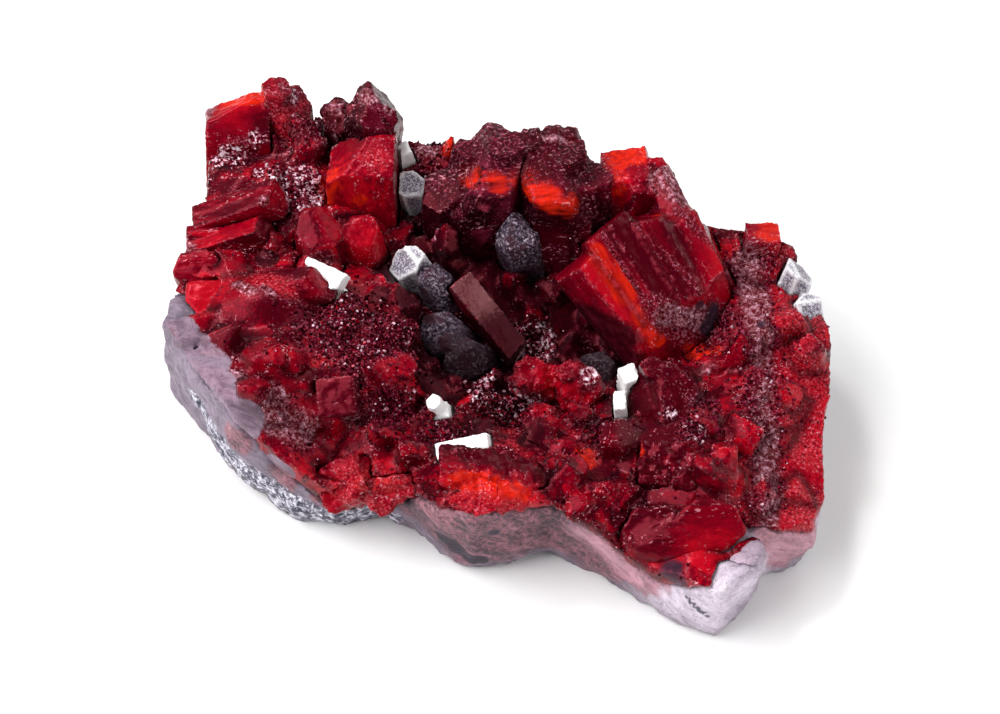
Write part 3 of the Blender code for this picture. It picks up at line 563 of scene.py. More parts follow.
class Shader:
    """A material and the nodes in it. Its patterns read the piece's own coordinates, in millimetres."""

    def __init__(self, name):
        self.colours = bpy.context.scene.ruby_colours
        self.material = bpy.data.materials.new(name)
        self.material.use_nodes = True
        self.tree = self.material.node_tree
        self.surface = self.tree.nodes["Principled BSDF"]
        place = self.node("ShaderNodeTexCoord").outputs["Object"]
        scaled = self.node("ShaderNodeVectorMath", {"operation": "SCALE"}, place)
        scaled.inputs["Scale"].default_value = 1 / MM
        self.place = scaled.outputs[0]

    def node(self, kind, settings=None, *values, **named):
        """A node with its settings made first, then its sockets set to values or links."""
        node = self.tree.nodes.new(kind)
        for key, value in (settings or {}).items():
            setattr(node, key, value)
        for key, value in [*enumerate(values), *named.items()]:
            self.connect(node.inputs[key.replace("_", " ") if isinstance(key, str) else key], value)
        return node

    def connect(self, socket, value):
        if isinstance(value, Value):
            value = value.socket
        if isinstance(value, bpy.types.NodeSocket):
            self.tree.links.new(value, socket)
        elif value is not None:
            socket.default_value = value

    def noise(self, size, detail=3.0, roughness=0.55, distortion=0.0, place=None):
        node = self.node(
            "ShaderNodeTexNoise", {}, Vector=place or self.place, Scale=1 / size, Detail=detail,
            Roughness=roughness, Distortion=distortion
        )
        return Value(self, node.outputs["Fac"])

    def bits(self, size, place):
        """Angular bits of that size, packed together, with a random number for each."""
        node = self.node("ShaderNodeTexVoronoi", {}, Vector=place, Scale=1 / size)
        parts = self.node("ShaderNodeSeparateColor", {}, node.outputs["Color"])
        return Value(self, parts.outputs[0])

    def cracks(self, size, place):
        """1 along the cracks between the bits of that size, fading to 0 inside them."""
        node = self.node(
            "ShaderNodeTexVoronoi", {"feature": "DISTANCE_TO_EDGE"}, Vector=place, Scale=1 / size
        )
        return 1 - Value(self, node.outputs["Distance"]).between(0.0, 0.07)

    def stretched(self, direction, factor):
        """The place with lengths along a direction drawn out by a factor."""
        turn = Vector(direction).to_track_quat("Z", "Y").inverted().to_euler()
        turned = self.node("ShaderNodeMapping", {"vector_type": "POINT"}, self.place, Rotation=tuple(turn))
        scale = (1, 1, 1 / factor)
        drawn = self.node("ShaderNodeVectorMath", {"operation": "MULTIPLY"}, turned.outputs[0], scale)
        return drawn.outputs[0]

    def attribute(self, name):
        return Value(self, self.node("ShaderNodeAttribute", {"attribute_name": name}).outputs["Fac"])

    def patch(self, name, rough, ragged=0.5, soft=0.11):
        """1 inside the patches of that name and 0 outside, with an edge as ragged as the noise given."""
        inside = self.attribute(name) + (rough - 0.5) * ragged
        return inside.between(PATCH_EDGE - soft, PATCH_EDGE + soft)

    def mix(self, factor, first, second):
        """The first colour where the factor is 0, and the second where it is 1."""
        node = self.node("ShaderNodeMix", {"data_type": "RGBA"})
        self.connect(node.inputs["Factor"], factor)
        self.connect(node.inputs[6], self.colour(first))
        self.connect(node.inputs[7], self.colour(second))
        return node.outputs[2]

    @staticmethod
    def colour(value):
        return value if isinstance(value, bpy.types.NodeSocket) else (*value, 1)

    def ramp(self, factor, *steps):
        """A run of colours: each step is a place on the run and its colour."""
        node = self.node("ShaderNodeValToRGB", {}, factor)
        for _ in steps[2:]:
            node.color_ramp.elements.new(0.5)
        for element, (start, colour) in zip(node.color_ramp.elements, steps):
            element.position = start
            element.color = (*colour, 1)
        return node.outputs[0]

    def bump(self, height, distance, strength=1.0):
        node = self.node("ShaderNodeBump", {}, Strength=strength, Distance=distance, Height=height)
        self.set(Normal=node.outputs[0])

    def set(self, **values):
        for key, value in values.items():
            self.connect(self.surface.inputs[key.replace("_", " ")], value)

    def polish(self):
        """Red lustre under a thin clear one that catches the small lamp."""
        self.set(Specular_IOR_Level=0.2, Specular_Tint=(1, 0.06, 0.12, 1))
        self.set(Coat_Weight=0.08, Coat_Roughness=0.07, Coat_IOR=1.3)

    def absorb(self, colour, density):
        node = self.node("ShaderNodeVolumeAbsorption", {}, (*colour, 1), density)
        output = self.tree.nodes["Material Output"]
        self.tree.links.new(node.outputs[0], output.inputs["Volume"])


def marble_colour(shader, fine):
    """Pale lilac stone, pinkish brown in places and gritty in others."""
    colours = shader.colours
    clouds = shader.noise(6.0, 4.0, 0.6, 0.8)
    streaks = shader.noise(0.9, 4.0, 0.7, 0.5, shader.stretched((0.8, 0.25, -0.5), 5))
    blushing = shader.patch("blush", clouds, 0.8)
    pale = (shader.attribute("pale") * (streaks * 1.7)).limited()
    lighter = (clouds * 0.35 + streaks * 0.65).between(0.38, 0.6)
    plain = shader.mix(lighter, colours.marble, colours.marble_pale)
    mottled = shader.ramp(
        fine * 0.4 + streaks * 0.35 + clouds * 0.25, (0.42, (0.035, 0.02, 0.026)),
        (0.48, (0.12, 0.05, 0.065)), (0.54, colours.marble_blush), (0.62, (0.45, 0.21, 0.26))
    )
    blush = shader.mix(blushing * 0.85, plain, shader.mix(pale, mottled, colours.marble_rose))
    stone = shader.mix(pale * (1 - blushing) * 0.95, blush, colours.marble_white)
    veins = 1 - (shader.noise(3.5, 3.0, 0.6, 1.2) - 0.5).absolute().between(0.0, 0.014)
    stone = shader.mix(veins * streaks.between(0.45, 0.6) * 0.7, stone, (0.07, 0.04, 0.055))
    grit = shader.ramp(
        shader.noise(0.9, 4.0, 0.75, 0.6), (0.4, (0.015, 0.015, 0.03)), (0.48, (0.12, 0.11, 0.15)),
        (0.54, (0.4, 0.38, 0.46)), (0.62, (0.8, 0.78, 0.85))
    )
    gritty = shader.mix(shader.patch("grit", clouds, 0.9), stone, grit)
    speckled = shader.mix(fine.between(0.6, 0.66) * 0.55, gritty, (0.1, 0.05, 0.08))
    return shader.mix(shader.patch("ink", fine, 0.8) * 0.85, speckled, colours.ink)


class RubyShader(Shader):
    """Ruby, drawn out along a way. Its three tones are reds from dark to light."""

    def __init__(self, name, way, tones, stretch):
        super().__init__(name)
        self.way = way
        self.tones = tones
        place = self.stretched(way, stretch)
        self.bit_place = self.stretched(way, 1.6)
        self.clouds = self.noise(4.0, 4.0, 0.6, 0.8, place)
        self.streaks = self.noise(0.8, 3.0, 0.6, 0.0, place)
        self.fine = self.noise(0.36, 3.0, 0.7)
        self.rough = self.clouds * 0.5 + self.fine * 0.5
        self.sand = self.patch("sand", self.rough, 1.2, 0.2)
        self.bloom = self.patch("bloom", self.rough, 1.1, 0.2)
        # Painted shade: the dark patches, near black in the hollow and the gaps.
        self.dark = self.patch("dark", self.rough, 0.7)

    def clean(self, striped, broken, speckled):
        """Clean ruby, each facet, stripe and bit in its own tone, with painted light and shade and a
        painted orange glow where light comes through.
        """
        deep, mid, bright = self.tones
        bit = self.bits(BIT_SIZE, self.bit_place)
        # Painted light and shade: lighter in the lit patches, deeper in the shade patches.
        light = self.attribute("lit") * 0.26 - self.attribute("shade") * 0.34
        tone = (
            (bit - 0.5) * broken + (self.fine - 0.5) * speckled + self.clouds * 0.45
            + (self.streaks - 0.5) * striped + self.attribute("facet") * 0.34 + 0.09 + light
        )
        red = self.mix(tone.between(0.3, 0.55), deep, mid)
        red = self.mix(tone.between(0.52, 0.8), red, bright)
        # Painted glow: orange windows in the ember patches, where light comes through.
        window = self.patch("ember", self.clouds * 0.4 + self.streaks * 0.6, 1.0, 0.2)
        glow = window * (self.streaks * 2.0 - 0.35).limited()
        return self.mix(glow * 0.95, red, self.colours.ember)

    def crusted(self, colour, dust, dust_shift):
        """The colour under crusts of sand, dust and bloom."""
        colours = self.colours
        deep, mid, _ = self.tones
        # The sparkle at the top of each run stands for painted glints among the grains.
        sandy = self.ramp(
            self.fine, (0.38, deep), (0.44, mid), (0.5, colours.bright), (0.58, (0.5, 0.02, 0.03)),
            (0.64, (0.5, 0.1, 0.15)), (0.72, colours.sparkle)
        )
        dusty = self.ramp(
            self.fine - dust_shift, (0.41, colours.dark), (0.48, deep), (0.54, mid), (0.6, colours.film),
            (0.66, colours.film_grey), (0.74, colours.sparkle)
        )
        crumbly = self.ramp(
            self.noise(0.6, 3.5, 0.75, 0.4), (0.4, colours.dark), (0.46, colours.dull),
            (0.52, colours.mauve), (0.58, colours.bloom), (0.68, colours.sparkle)
        )
        colour = self.mix(self.sand * 0.75, colour, sandy)
        colour = self.mix(dust * 0.9, colour, dusty)
        return self.mix(self.bloom * 0.85, colour, crumbly)

    def edged(self, colour, dust, broken, gleaming):
        """The colour with painted shade in the creases and the dark patches, dark cracks between the bits,
        and painted highlights caught on edges.
        """
        cracks = self.cracks(BIT_SIZE, self.bit_place)
        # Painted shade: near black along the creases and in the dark patches; the cracks between the bits
        # are dark too.
        gaps = self.attribute("crease") * 0.85 + cracks * broken * 1.6 * (1 - self.bloom)
        colour = self.mix((gaps + self.dark * 0.9).limited(), colour, self.colours.dark)
        # Painted highlights: pale gleams on the ridges, on cloudy patches and on dust.
        gleam = self.noise(0.34, 2.0, 0.6, 0.6, self.stretched(self.way, 2.0)).between(0.6, 0.66)
        cloudy = self.clouds.between(0.52, 0.66) * gleaming * 1.8
        caught = (cloudy + self.attribute("ridge") * 0.35 + dust * 0.2).limited()
        return self.mix(gleam * caught * (1 - self.dark * 0.7), colour, self.colours.gleam)

    def spotted(self, colour):
        """The colour with clusters of glitter and blue-black spots."""
        colours = self.colours
        glittery = self.ramp(
            self.noise(0.65, 3.0, 0.7, 0.5), (0.42, colours.dark), (0.47, self.tones[1]),
            (0.51, colours.film), (0.56, colours.sparkle), (0.64, (0.95, 0.88, 0.95))
        )
        colour = self.mix(self.patch("glitter", self.rough, 1.2, 0.1), colour, glittery)
        return self.mix(self.patch("ink", self.fine, 0.8) * 0.85, colour, colours.ink)


def ruby_material(
    name, way, tones, clearness=0.0, stretch=4, striped=0.3, broken=0.05, speckled=0.3, gleaming=0.4,
    dusty=0.0, dust_shift=0.0, stone=False
):
    """Ruby: red that runs from deep to bright, with a painted orange glow where light comes through,
    painted shade in the creases and the hollow, dark cracks and crusts of pale grains.

    Clearness is how much light goes through it. Striped, broken and speckled are how far its stripes,
    bits and specks differ in tone, gleaming is how much painted highlight its edges catch, dusty how much
    dust lies all over it and dust_shift how dark that is. With stone, marble comes up over some of it.
    """
    ruby = RubyShader(name, way, tones, stretch)
    if stone:
        broken = broken * (1 - ruby.attribute("calm"))
    everywhere = dusty * ruby.rough.between(0.42, 0.55)
    dust = (ruby.patch("dust", ruby.rough, 1.4, 0.18) + everywhere).limited()
    colour = ruby.crusted(ruby.clean(striped, broken, speckled), dust, dust_shift)
    colour = ruby.spotted(ruby.edged(colour, dust, broken, gleaming))
    roughness = 0.2 + (dust + ruby.sand * 0.5) * 0.3 + (ruby.streaks - 0.5) * 0.15 + ruby.dark * 0.2
    if stone:
        covered = ruby.patch("stone", ruby.rough, 0.5, 0.04)
        colour = ruby.mix(covered, colour, marble_colour(ruby, ruby.fine))
        roughness = roughness + covered * 0.3
    ruby.set(Base_Color=colour, Roughness=roughness.limited())
    ruby.set(IOR=RUBY_IOR, Transmission_Weight=clearness)
    ruby.polish()
    ruby.bump(ruby.streaks * 0.5 + ruby.fine * (0.3 + (dust + ruby.sand) * 0.9), 0.22 * MM, 0.55)
    if clearness:
        ruby.absorb(PASSED_COLOUR, ABSORPTION)
    return ruby.material


def ruby_finish(kind, way):
    """The ruby of that kind, with its striations along that way."""
    colours = bpy.context.scene.ruby_colours
    dark, deep, mid, bright = colours.dark, colours.deep, colours.mid, colours.bright
    plum, dull, mauve = colours.plum, colours.dull, colours.mauve
    tones, look = {
        "striated": (
            (deep, mid, bright),
            {"clearness": 0.15, "stretch": 12, "striped": 0.14, "broken": 0.04, "gleaming": 0.2}
        ),
        # Ember: lighter all over, a painted glow of the light that comes through these blocks.
        "ember": ((mid, mid, bright), {"clearness": 0.12, "stretch": 8, "striped": 0.9, "gleaming": 0.9}),
        "glowing": (
            (deep, mid, bright), {"clearness": 0.12, "stretch": 3, "striped": 0.5, "gleaming": 0.5}
        ),
        "dusky": ((dark, deep, plum), {"stretch": 5, "dusty": 0.2, "dust_shift": 0.065}),
        "dull": ((deep, dull, dull), {"clearness": 0.1, "stretch": 3, "gleaming": 0.15}),
        "rose": ((dark, plum, mid), {"stretch": 5, "gleaming": 0.25, "dusty": 0.1, "dust_shift": 0.05}),
        "clear": ((deep, mid, bright), {"clearness": 0.15, "gleaming": 0.45}),
        "dim": ((deep, mid, bright), {"stretch": 6, "striped": 0.5, "gleaming": 0.3}),
        "deep": ((deep, deep, mid), {"clearness": 0.15, "stretch": 3}),
        "mauve": ((deep, mauve, mauve), {"clearness": 0.1, "broken": 0.0, "gleaming": 0.0}),
    }[kind]
    return ruby_material("ruby_" + kind, way, tones, **look)


def druse_material():
    """The small crystals: each has its own tone, from near black through red to dusty pink."""
    shader = Shader("druse")
    colours = shader.colours
    tone = shader.attribute("tone")
    colour = colours.dark
    for low, high, lighter in (
        (0.05, 0.3, colours.deep), (0.25, 0.45, colours.plum), (0.42, 0.62, colours.mid),
        (0.68, 0.8, colours.film), (0.86, 0.95, colours.sparkle),
    ):
        colour = shader.mix(tone.between(low, high), colour, lighter)
    shader.set(Base_Color=colour, Roughness=0.2, IOR=RUBY_IOR)
    shader.polish()
    return shader.material


def black_material():
    """Near black, with a grainy grey sheen and a little red."""
    shader = Shader("black_mineral")
    colours = shader.colours
    fine = shader.noise(0.4, 4.0, 0.75)
    clouds = shader.noise(2.4, 3.0, 0.6)
    grainy = shader.ramp(
        fine, (0.38, colours.black), (0.46, (0.02, 0.012, 0.02)), (0.52, colours.black_sheen),
        (0.57, (0.2, 0.14, 0.19)), (0.65, (0.6, 0.5, 0.6))
    )
    flat = shader.mix(shader.attribute("facet"), (0.008, 0.005, 0.01), (0.05, 0.036, 0.055))
    colour = shader.mix(clouds.between(0.28, 0.48) * 0.95, flat, grainy)
    red = shader.mix((1 - clouds).between(0.52, 0.62) * 0.25, colour, (0.09, 0.004, 0.012))
    # Painted shade: near black where the crystal sits in the dark patches of the hollow.
    hollow_shade = shader.patch("dark", fine, 1.6, 0.2)
    colour = shader.mix(hollow_shade * 0.85, red, colours.dark)
    shader.set(Base_Color=colour, Roughness=0.5, Specular_IOR_Level=0.1)
    shader.bump(fine, 0.18 * MM, 0.9)
    return shader.material


def white_material(name, frosting):
    """White, and lilac with fine dark specks on the faces where it is frosted."""
    shader = Shader(name)
    fine = shader.noise(0.3, 2.0, 0.7, 0.8)
    flat = (1 - shader.attribute("ridge") * 0.9) * frosting
    lilac = shader.mix(flat * 0.9, shader.colours.white, (0.42, 0.37, 0.46))
    colour = shader.mix(fine.between(0.45, 0.52) * flat * 0.9, lilac, (0.045, 0.035, 0.055))
    shader.set(Base_Color=colour, Roughness=0.5, IOR=1.5)
    shader.bump(fine, 0.08 * MM, 0.4)
    return shader.material


def marble_material():
    shader = Shader("marble")
    fine = shader.noise(0.5, 4.0, 0.7)
    shader.set(Base_Color=marble_colour(shader, fine), Roughness=0.5, Specular_IOR_Level=0.3)
    shader.bump(fine * 0.5 + shader.noise(1.6, 3.0) * 0.5, 0.4 * MM, 0.6)
    return shader.material


# Small crystals and grains, as points and triangles.


def cut_crystal(sides, tilts, taper):
    """A crystal one unit across that stands on the origin, its top cut at the tilts given."""
    bpy.ops.object.select_all(action="DESELECT")
    height = CRYSTAL_ROOT + 1
    bpy.ops.mesh.primitive_cone_add(
        vertices=sides, radius1=0.5, radius2=0.5 * taper, depth=height,
        location=(0, 0, height / 2 - CRYSTAL_ROOT), end_fill_type="NGON"
    )
    obj = bpy.context.object
    bpy.ops.object.transform_apply(location=True, rotation=False, scale=False)
    bpy.ops.object.mode_set(mode="EDIT")
    for number, tilt in enumerate(tilts):
        bpy.ops.mesh.select_all(action="SELECT")
        heading, lean = 1.1 + 2.3 * number, math.radians(tilt)
        normal = (math.sin(lean) * math.cos(heading), math.sin(lean) * math.sin(heading), math.cos(lean))
        bpy.ops.mesh.bisect(plane_co=(0, 0, CRYSTAL_TOP), plane_no=normal, use_fill=True, clear_outer=True)
    bpy.ops.mesh.select_all(action="SELECT")
    bpy.ops.mesh.quads_convert_to_tris()
    bpy.ops.object.mode_set(mode="OBJECT")
    shape = points_of(obj.data), np.array([tuple(face.vertices) for face in obj.data.polygons])
    bpy.data.objects.remove(obj)
    return shape


def grain():
    """A grain of eight triangles, about half sunk in the surface."""
    rim = [(0.5, 0, -0.05), (0, 0.4, 0.05), (-0.5, 0.1, -0.05), (0.1, -0.45, 0)]
    points = np.array([*rim, (0.1, 0.1, 0.45), (0, 0, -0.45)])
    upper = [(0, 1, 4), (1, 2, 4), (2, 3, 4), (3, 0, 4)]
    lower = [(1, 0, 5), (2, 1, 5), (3, 2, 5), (0, 3, 5)]
    return points, np.array(upper + lower)


def scattered(piece, weigh, rng, count=0, density=0.0):
    """Points spread over a piece, thicker where the weight is higher, with normals and patch values there.

    Either a number of points is asked for, or so many for each square millimetre where the weight is 1.
    """
    mesh = piece.data
    mesh.calc_loop_triangles()
    corners = np.empty(len(mesh.loop_triangles) * 3, dtype=np.int64)
    mesh.loop_triangles.foreach_get("vertices", corners)
    corners = corners.reshape(-1, 3)
    places = points_of(mesh)[corners]
    normals = np.cross(places[:, 1] - places[:, 0], places[:, 2] - places[:, 0])
    areas = np.linalg.norm(normals, axis=1)
    normals /= np.maximum(areas, 1e-20)[:, None]
    values = {name: at_points(mesh, name)[corners].mean(axis=1) for name in SITE_VALUES}
    values["centre"] = places.mean(axis=1)
    share = areas * weigh(values, normals)
    count = count or int(share.sum() / 2 / MM**2 * density)
    picked = rng.choice(len(areas), size=count, p=share / share.sum())
    u, v = rng.random(count), rng.random(count)
    flip = u + v > 1
    u[flip], v[flip] = 1 - u[flip], 1 - v[flip]
    a, b, c = np.swapaxes(places[picked], 0, 1)
    return {
        "place": a + (b - a) * u[:, None] + (c - a) * v[:, None],
        "normal": normals[picked],
        **{name: value[picked] for name, value in values.items()},
    }


def joined_sites(parts):
    return {name: np.concatenate([part[name] for part in parts]) for name in parts[0]}


def clear_sites(sites, count):
    """The first sites that no standing crystal or marble covers."""
    names = [*RUBY_FINISHES, *BLACK_CRYSTALS, *WHITE_CRYSTALS, *FROSTED_CRYSTALS, "marble_matrix"]
    trees = [face_tree(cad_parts[name].data) for name in names]
    below, reach = 0.2 * MM, 1.2 * MM
    kept = []
    for index, (place, normal) in enumerate(zip(sites["place"], sites["normal"])):
        way = Vector(normal)
        start = Vector(place) - way * below
        if all(tree.ray_cast(start, way, reach)[0] is None for tree in trees):
            kept.append(index)
            if len(kept) == count:
                break
    return {name: value[kept] for name, value in sites.items()}


def clumps(places):
    """Thick in some places and thin in others, a few millimetres apart."""
    x, y, z = places.T / MM
    waves = np.sin(x * 1.1 + 2 * np.sin(y * 0.7)) + np.sin(y * 1.3 + z + 1)
    waves = waves + np.sin(x * 0.6 - y * 0.8 + z * 0.9)
    return np.clip(waves * 0.5 + 0.2, 0.05, 1)


# How thickly each kind of small crystal stands, from the values at a place and the normal there.


def shoot_weight(at, normals):
    clean = np.clip(1.1 - at["dust"] - 1.5 * at["calm"], 0, 1)
    return clean * (normals[:, 2] > 0.2) * (at["stone"] < 0.3)


def step_weight(at, normals):
    return 1


def druse_weight(at, normals):
    unbloomed = np.clip(1 - 1.6 * at["bloom"], 0, 1)
    return (0.005 + at["dust"] ** 2) * unbloomed * (normals[:, 2] > -0.1) * (at["stone"] < 0.35)


def glitter_weight(at, normals):
    return at["glitter"] ** 2 * (normals[:, 2] > 0)


def crust_grain_weight(at, normals):
    grainy = at["dust"] ** 2 + 0.22 * at["sand"] + 0.03 * at["ridge"]
    return grainy * (normals[:, 2] > -0.2) * (at["stone"] < 0.35) * clumps(at["centre"])


def ruby_grain_weight(at, normals):
    grainy = 0.6 * at["dust"] ** 2 + 0.03 * at["ridge"]
    return grainy * (normals[:, 2] > 0) * clumps(at["centre"])


def joined_crystals(name, sites, widths, lengths, shapes, lean, rng, tones=None, turned=9.0):
    """One mesh of many crystals, each rooted at its site and leaning off the normal there.

    The smaller the number turned, the more the crystals all face the same way.
    """
    count = len(widths)
    tones = np.zeros(count) if tones is None else tones
    axes = unit(sites["normal"] + rng.normal(0, lean, (count, 3)))
    sides = unit(np.cross(axes, rng.normal(0, turned, (count, 3)) + (0.3, 1.0, 0.1)))
    turns = np.stack([sides, np.cross(axes, sides), axes], axis=1)
    scales = np.stack([widths, widths * rng.uniform(0.65, 1.0, count), lengths], axis=1)
    picked = rng.integers(len(shapes), size=count)
    all_points, all_triangles, all_tones = [], [], []
    offset = 0
    for number, (points, triangles) in enumerate(shapes):
        chosen = picked == number
        placed = np.einsum("nij,njk->nik", points[None] * scales[chosen, None], turns[chosen])
        placed += sites["place"][chosen, None]
        starts = offset + np.arange(chosen.sum()) * len(points)
        all_points.append(placed.reshape(-1, 3))
        all_triangles.append((triangles[None] + starts[:, None, None]).reshape(-1, 3))
        all_tones.append(np.repeat(tones[chosen], len(points)))
        offset += placed.size // 3
    mesh = bpy.data.meshes.new(name)
    mesh.from_pydata(np.concatenate(all_points).tolist(), [], np.concatenate(all_triangles).tolist())
    write(mesh, "tone", np.concatenate(all_tones))
    return add_object(name, mesh)


def cut_crystals(recipes):
    return [cut_crystal(*recipe) for recipe in recipes]


def added_crystals(node, rng):
    """The larger crystals that are listed for a piece, each with its middle where the list says."""
    rows = ADDED[node]
    ways = unit(np.array([way for *_, way in rows]))
    middles, lengths, widths = (
        np.array([row[part] for row in rows], dtype=float) * MM for part in range(3)
    )
    height = CRYSTAL_ROOT + CRYSTAL_TOP
    rise = (CRYSTAL_TOP - CRYSTAL_ROOT) / 2 / height
    roots = {"place": middles - ways * lengths[:, None] * rise, "normal": ways}
    lengths = lengths / height
    shapes = cut_crystals(ADDED_SHAPES.get(node, ADDED_SHAPE))
    return joined_crystals(node + "_added", roots, widths, lengths, shapes, 0.04, rng, turned=EVEN_TURN)


def add_domes(piece, node):
    """Joins on the smooth rounded crystals that are listed for a piece."""
    for host, middle, radii, way in DOMES:
        if host != node:
            continue
        bpy.ops.object.select_all(action="DESELECT")
        bpy.ops.mesh.primitive_ico_sphere_add(subdivisions=4, radius=MM)
        dome = bpy.context.object
        dome.location = Vector(middle) * MM
        dome.scale = radii
        dome.rotation_mode = "QUATERNION"
        dome.rotation_quaternion = Vector(way).to_track_quat("X", "Z")
        bpy.ops.object.transform_apply(location=True, rotation=True, scale=True)
        join(piece, dome)


def grown_copy(node, rng):
    """The CAD node's solid, with the crystals and domes that are listed for it joined on."""
    piece = merged_copy(node, node + "_grown")
    if node in ADDED:
        join(piece, added_crystals(node, rng))
    add_domes(piece, node)
    return piece


# Settings.


def colour_setting(name, description, default):
    return bpy.props.FloatVectorProperty(
        name=name, description=description, default=default, subtype="COLOR", min=0, max=1
    )


def length_setting(name, description, default):
    return bpy.props.FloatProperty(
        name=name, description=description, default=default, min=0, unit="LENGTH", precision=5
    )


def count_setting(name, description, default):
    return bpy.props.IntProperty(name=name, description=description, default=default, min=0)


def density_setting(name, description, default):
    return bpy.props.FloatProperty(name=name, description=description, default=default, min=0)


class RubyColours(bpy.types.PropertyGroup):
    """Colours of the specimen, as linear light."""

    # Darkest red is the darkest grains' colour and also the painted shade in the hollow and the creases.
    dark: colour_setting("Darkest red", "Ruby in the hollow and the gaps", (0.01, 0.0, 0.0015))
    deep: colour_setting("Deep red", "Ruby at its darkest in the light", (0.055, 0.0, 0.004))
    mid: colour_setting("Red", "Ruby over most of its surface", (0.19, 0.0, 0.007))
    bright: colour_setting("Bright red", "Ruby where light comes through", (0.42, 0.002, 0.01))
    # Ember is the painted glow where light comes through the ruby.
    ember: colour_setting("Ember", "Ruby at its most orange", (0.74, 0.02, 0.003))
    plum: colour_setting("Plum", "Ruby with a grey bloom", (0.13, 0.008, 0.025))
    dull: colour_setting("Dull red", "The square crystal", (0.1, 0.004, 0.01))
    mauve: colour_setting("Mauve", "The flat blade in the hollow", (0.175, 0.065, 0.072))
    bloom: colour_setting("Bloom", "The lilac bloom on a few faces", (0.36, 0.15, 0.21))
    film: colour_setting("Film", "Pink grains", (0.26, 0.045, 0.08))
    film_grey: colour_setting("Grey film", "Lilac grains", (0.34, 0.17, 0.24))
    # Gleam is the colour of the painted highlights on edges.
    gleam: colour_setting("Gleam", "Light caught on edges", (0.72, 0.3, 0.36))
    ink: colour_setting("Ink", "Blue-black spots", (0.012, 0.014, 0.028))
    # Sparkle is the palest grains' colour, and in the grain patterns also painted glints.
    sparkle: colour_setting("Sparkle", "The palest grains", (0.75, 0.5, 0.6))
    black: colour_setting("Black mineral", "The dark crystals in the hollow", (0.007, 0.005, 0.01))
    black_sheen: colour_setting("Black sheen", "Grey light on the dark crystals", (0.075, 0.05, 0.075))
    white: colour_setting("White crystal", "The white crystals between the rubies", (0.93, 0.92, 0.93))
    marble: colour_setting("Marble", "The matrix", (0.12, 0.092, 0.125))
    marble_pale: colour_setting("Pale marble", "The matrix where it is pale", (0.25, 0.19, 0.25))
    marble_white: colour_setting("White marble", "The matrix at its palest", (0.78, 0.68, 0.79))
    marble_rose: colour_setting("Rose marble", "The matrix where it is pale and pink", (0.62, 0.31, 0.38))
    marble_blush: colour_setting("Marble blush", "The matrix where it is pinkish brown", (0.29, 0.1, 0.125))


class RubySizes(bpy.types.PropertyGroup):
    """Sizes and numbers of the specimen's detail."""

    crystal_detail: length_setting("Crystal detail", "Spacing of the points on a crystal", 0.3 * MM)
    crust_detail: length_setting("Crust detail", "Spacing of the points on the crust", 0.47 * MM)
    marble_detail: length_setting("Marble detail", "Spacing of the points on the marble", 0.6 * MM)
    shoots: count_setting("Shoots", "Crystals grown together with the crust", 240)
    druse: count_setting("Druse", "Small crystals on the crust", 8000)
    glitter: density_setting("Glitter", "Pale crystals on a square millimetre of their clusters", 2.8)
    grains: density_setting("Grains", "Pale grains on a square millimetre of dusty crust", 3.5)


# Operators.


class RUBY_OT_marble(bpy.types.Operator):
    """Adds the marble that the rubies grew on"""

    bl_idname = "ruby.marble"
    bl_label = "Marble"

    def execute(self, context):
        piece = merged_copy("marble_matrix", "marble_stone")
        remesh(piece, context.scene.ruby_sizes.marble_detail)
        roughen(piece, 5 * MM, 0.8 * MM)
        roughen(piece, 2.4 * MM, 0.6 * MM, "VORONOI")
        roughen(piece, 0.9 * MM, 0.3 * MM)
        self.level_underside(piece.data)
        note_patches(piece, *MARBLE_PATCHES, "ink")
        smooth(piece, 50)
        finish_piece(piece, marble_material(), MARBLE, "marble_matrix")
        return {"FINISHED"}

    def level_underside(self, mesh):
        """Moves the points that the roughness has pushed below the floor back up to it."""
        points = points_of(mesh)
        points[:, 2] = np.maximum(points[:, 2], 0)
        mesh.vertices.foreach_set("co", points.ravel())


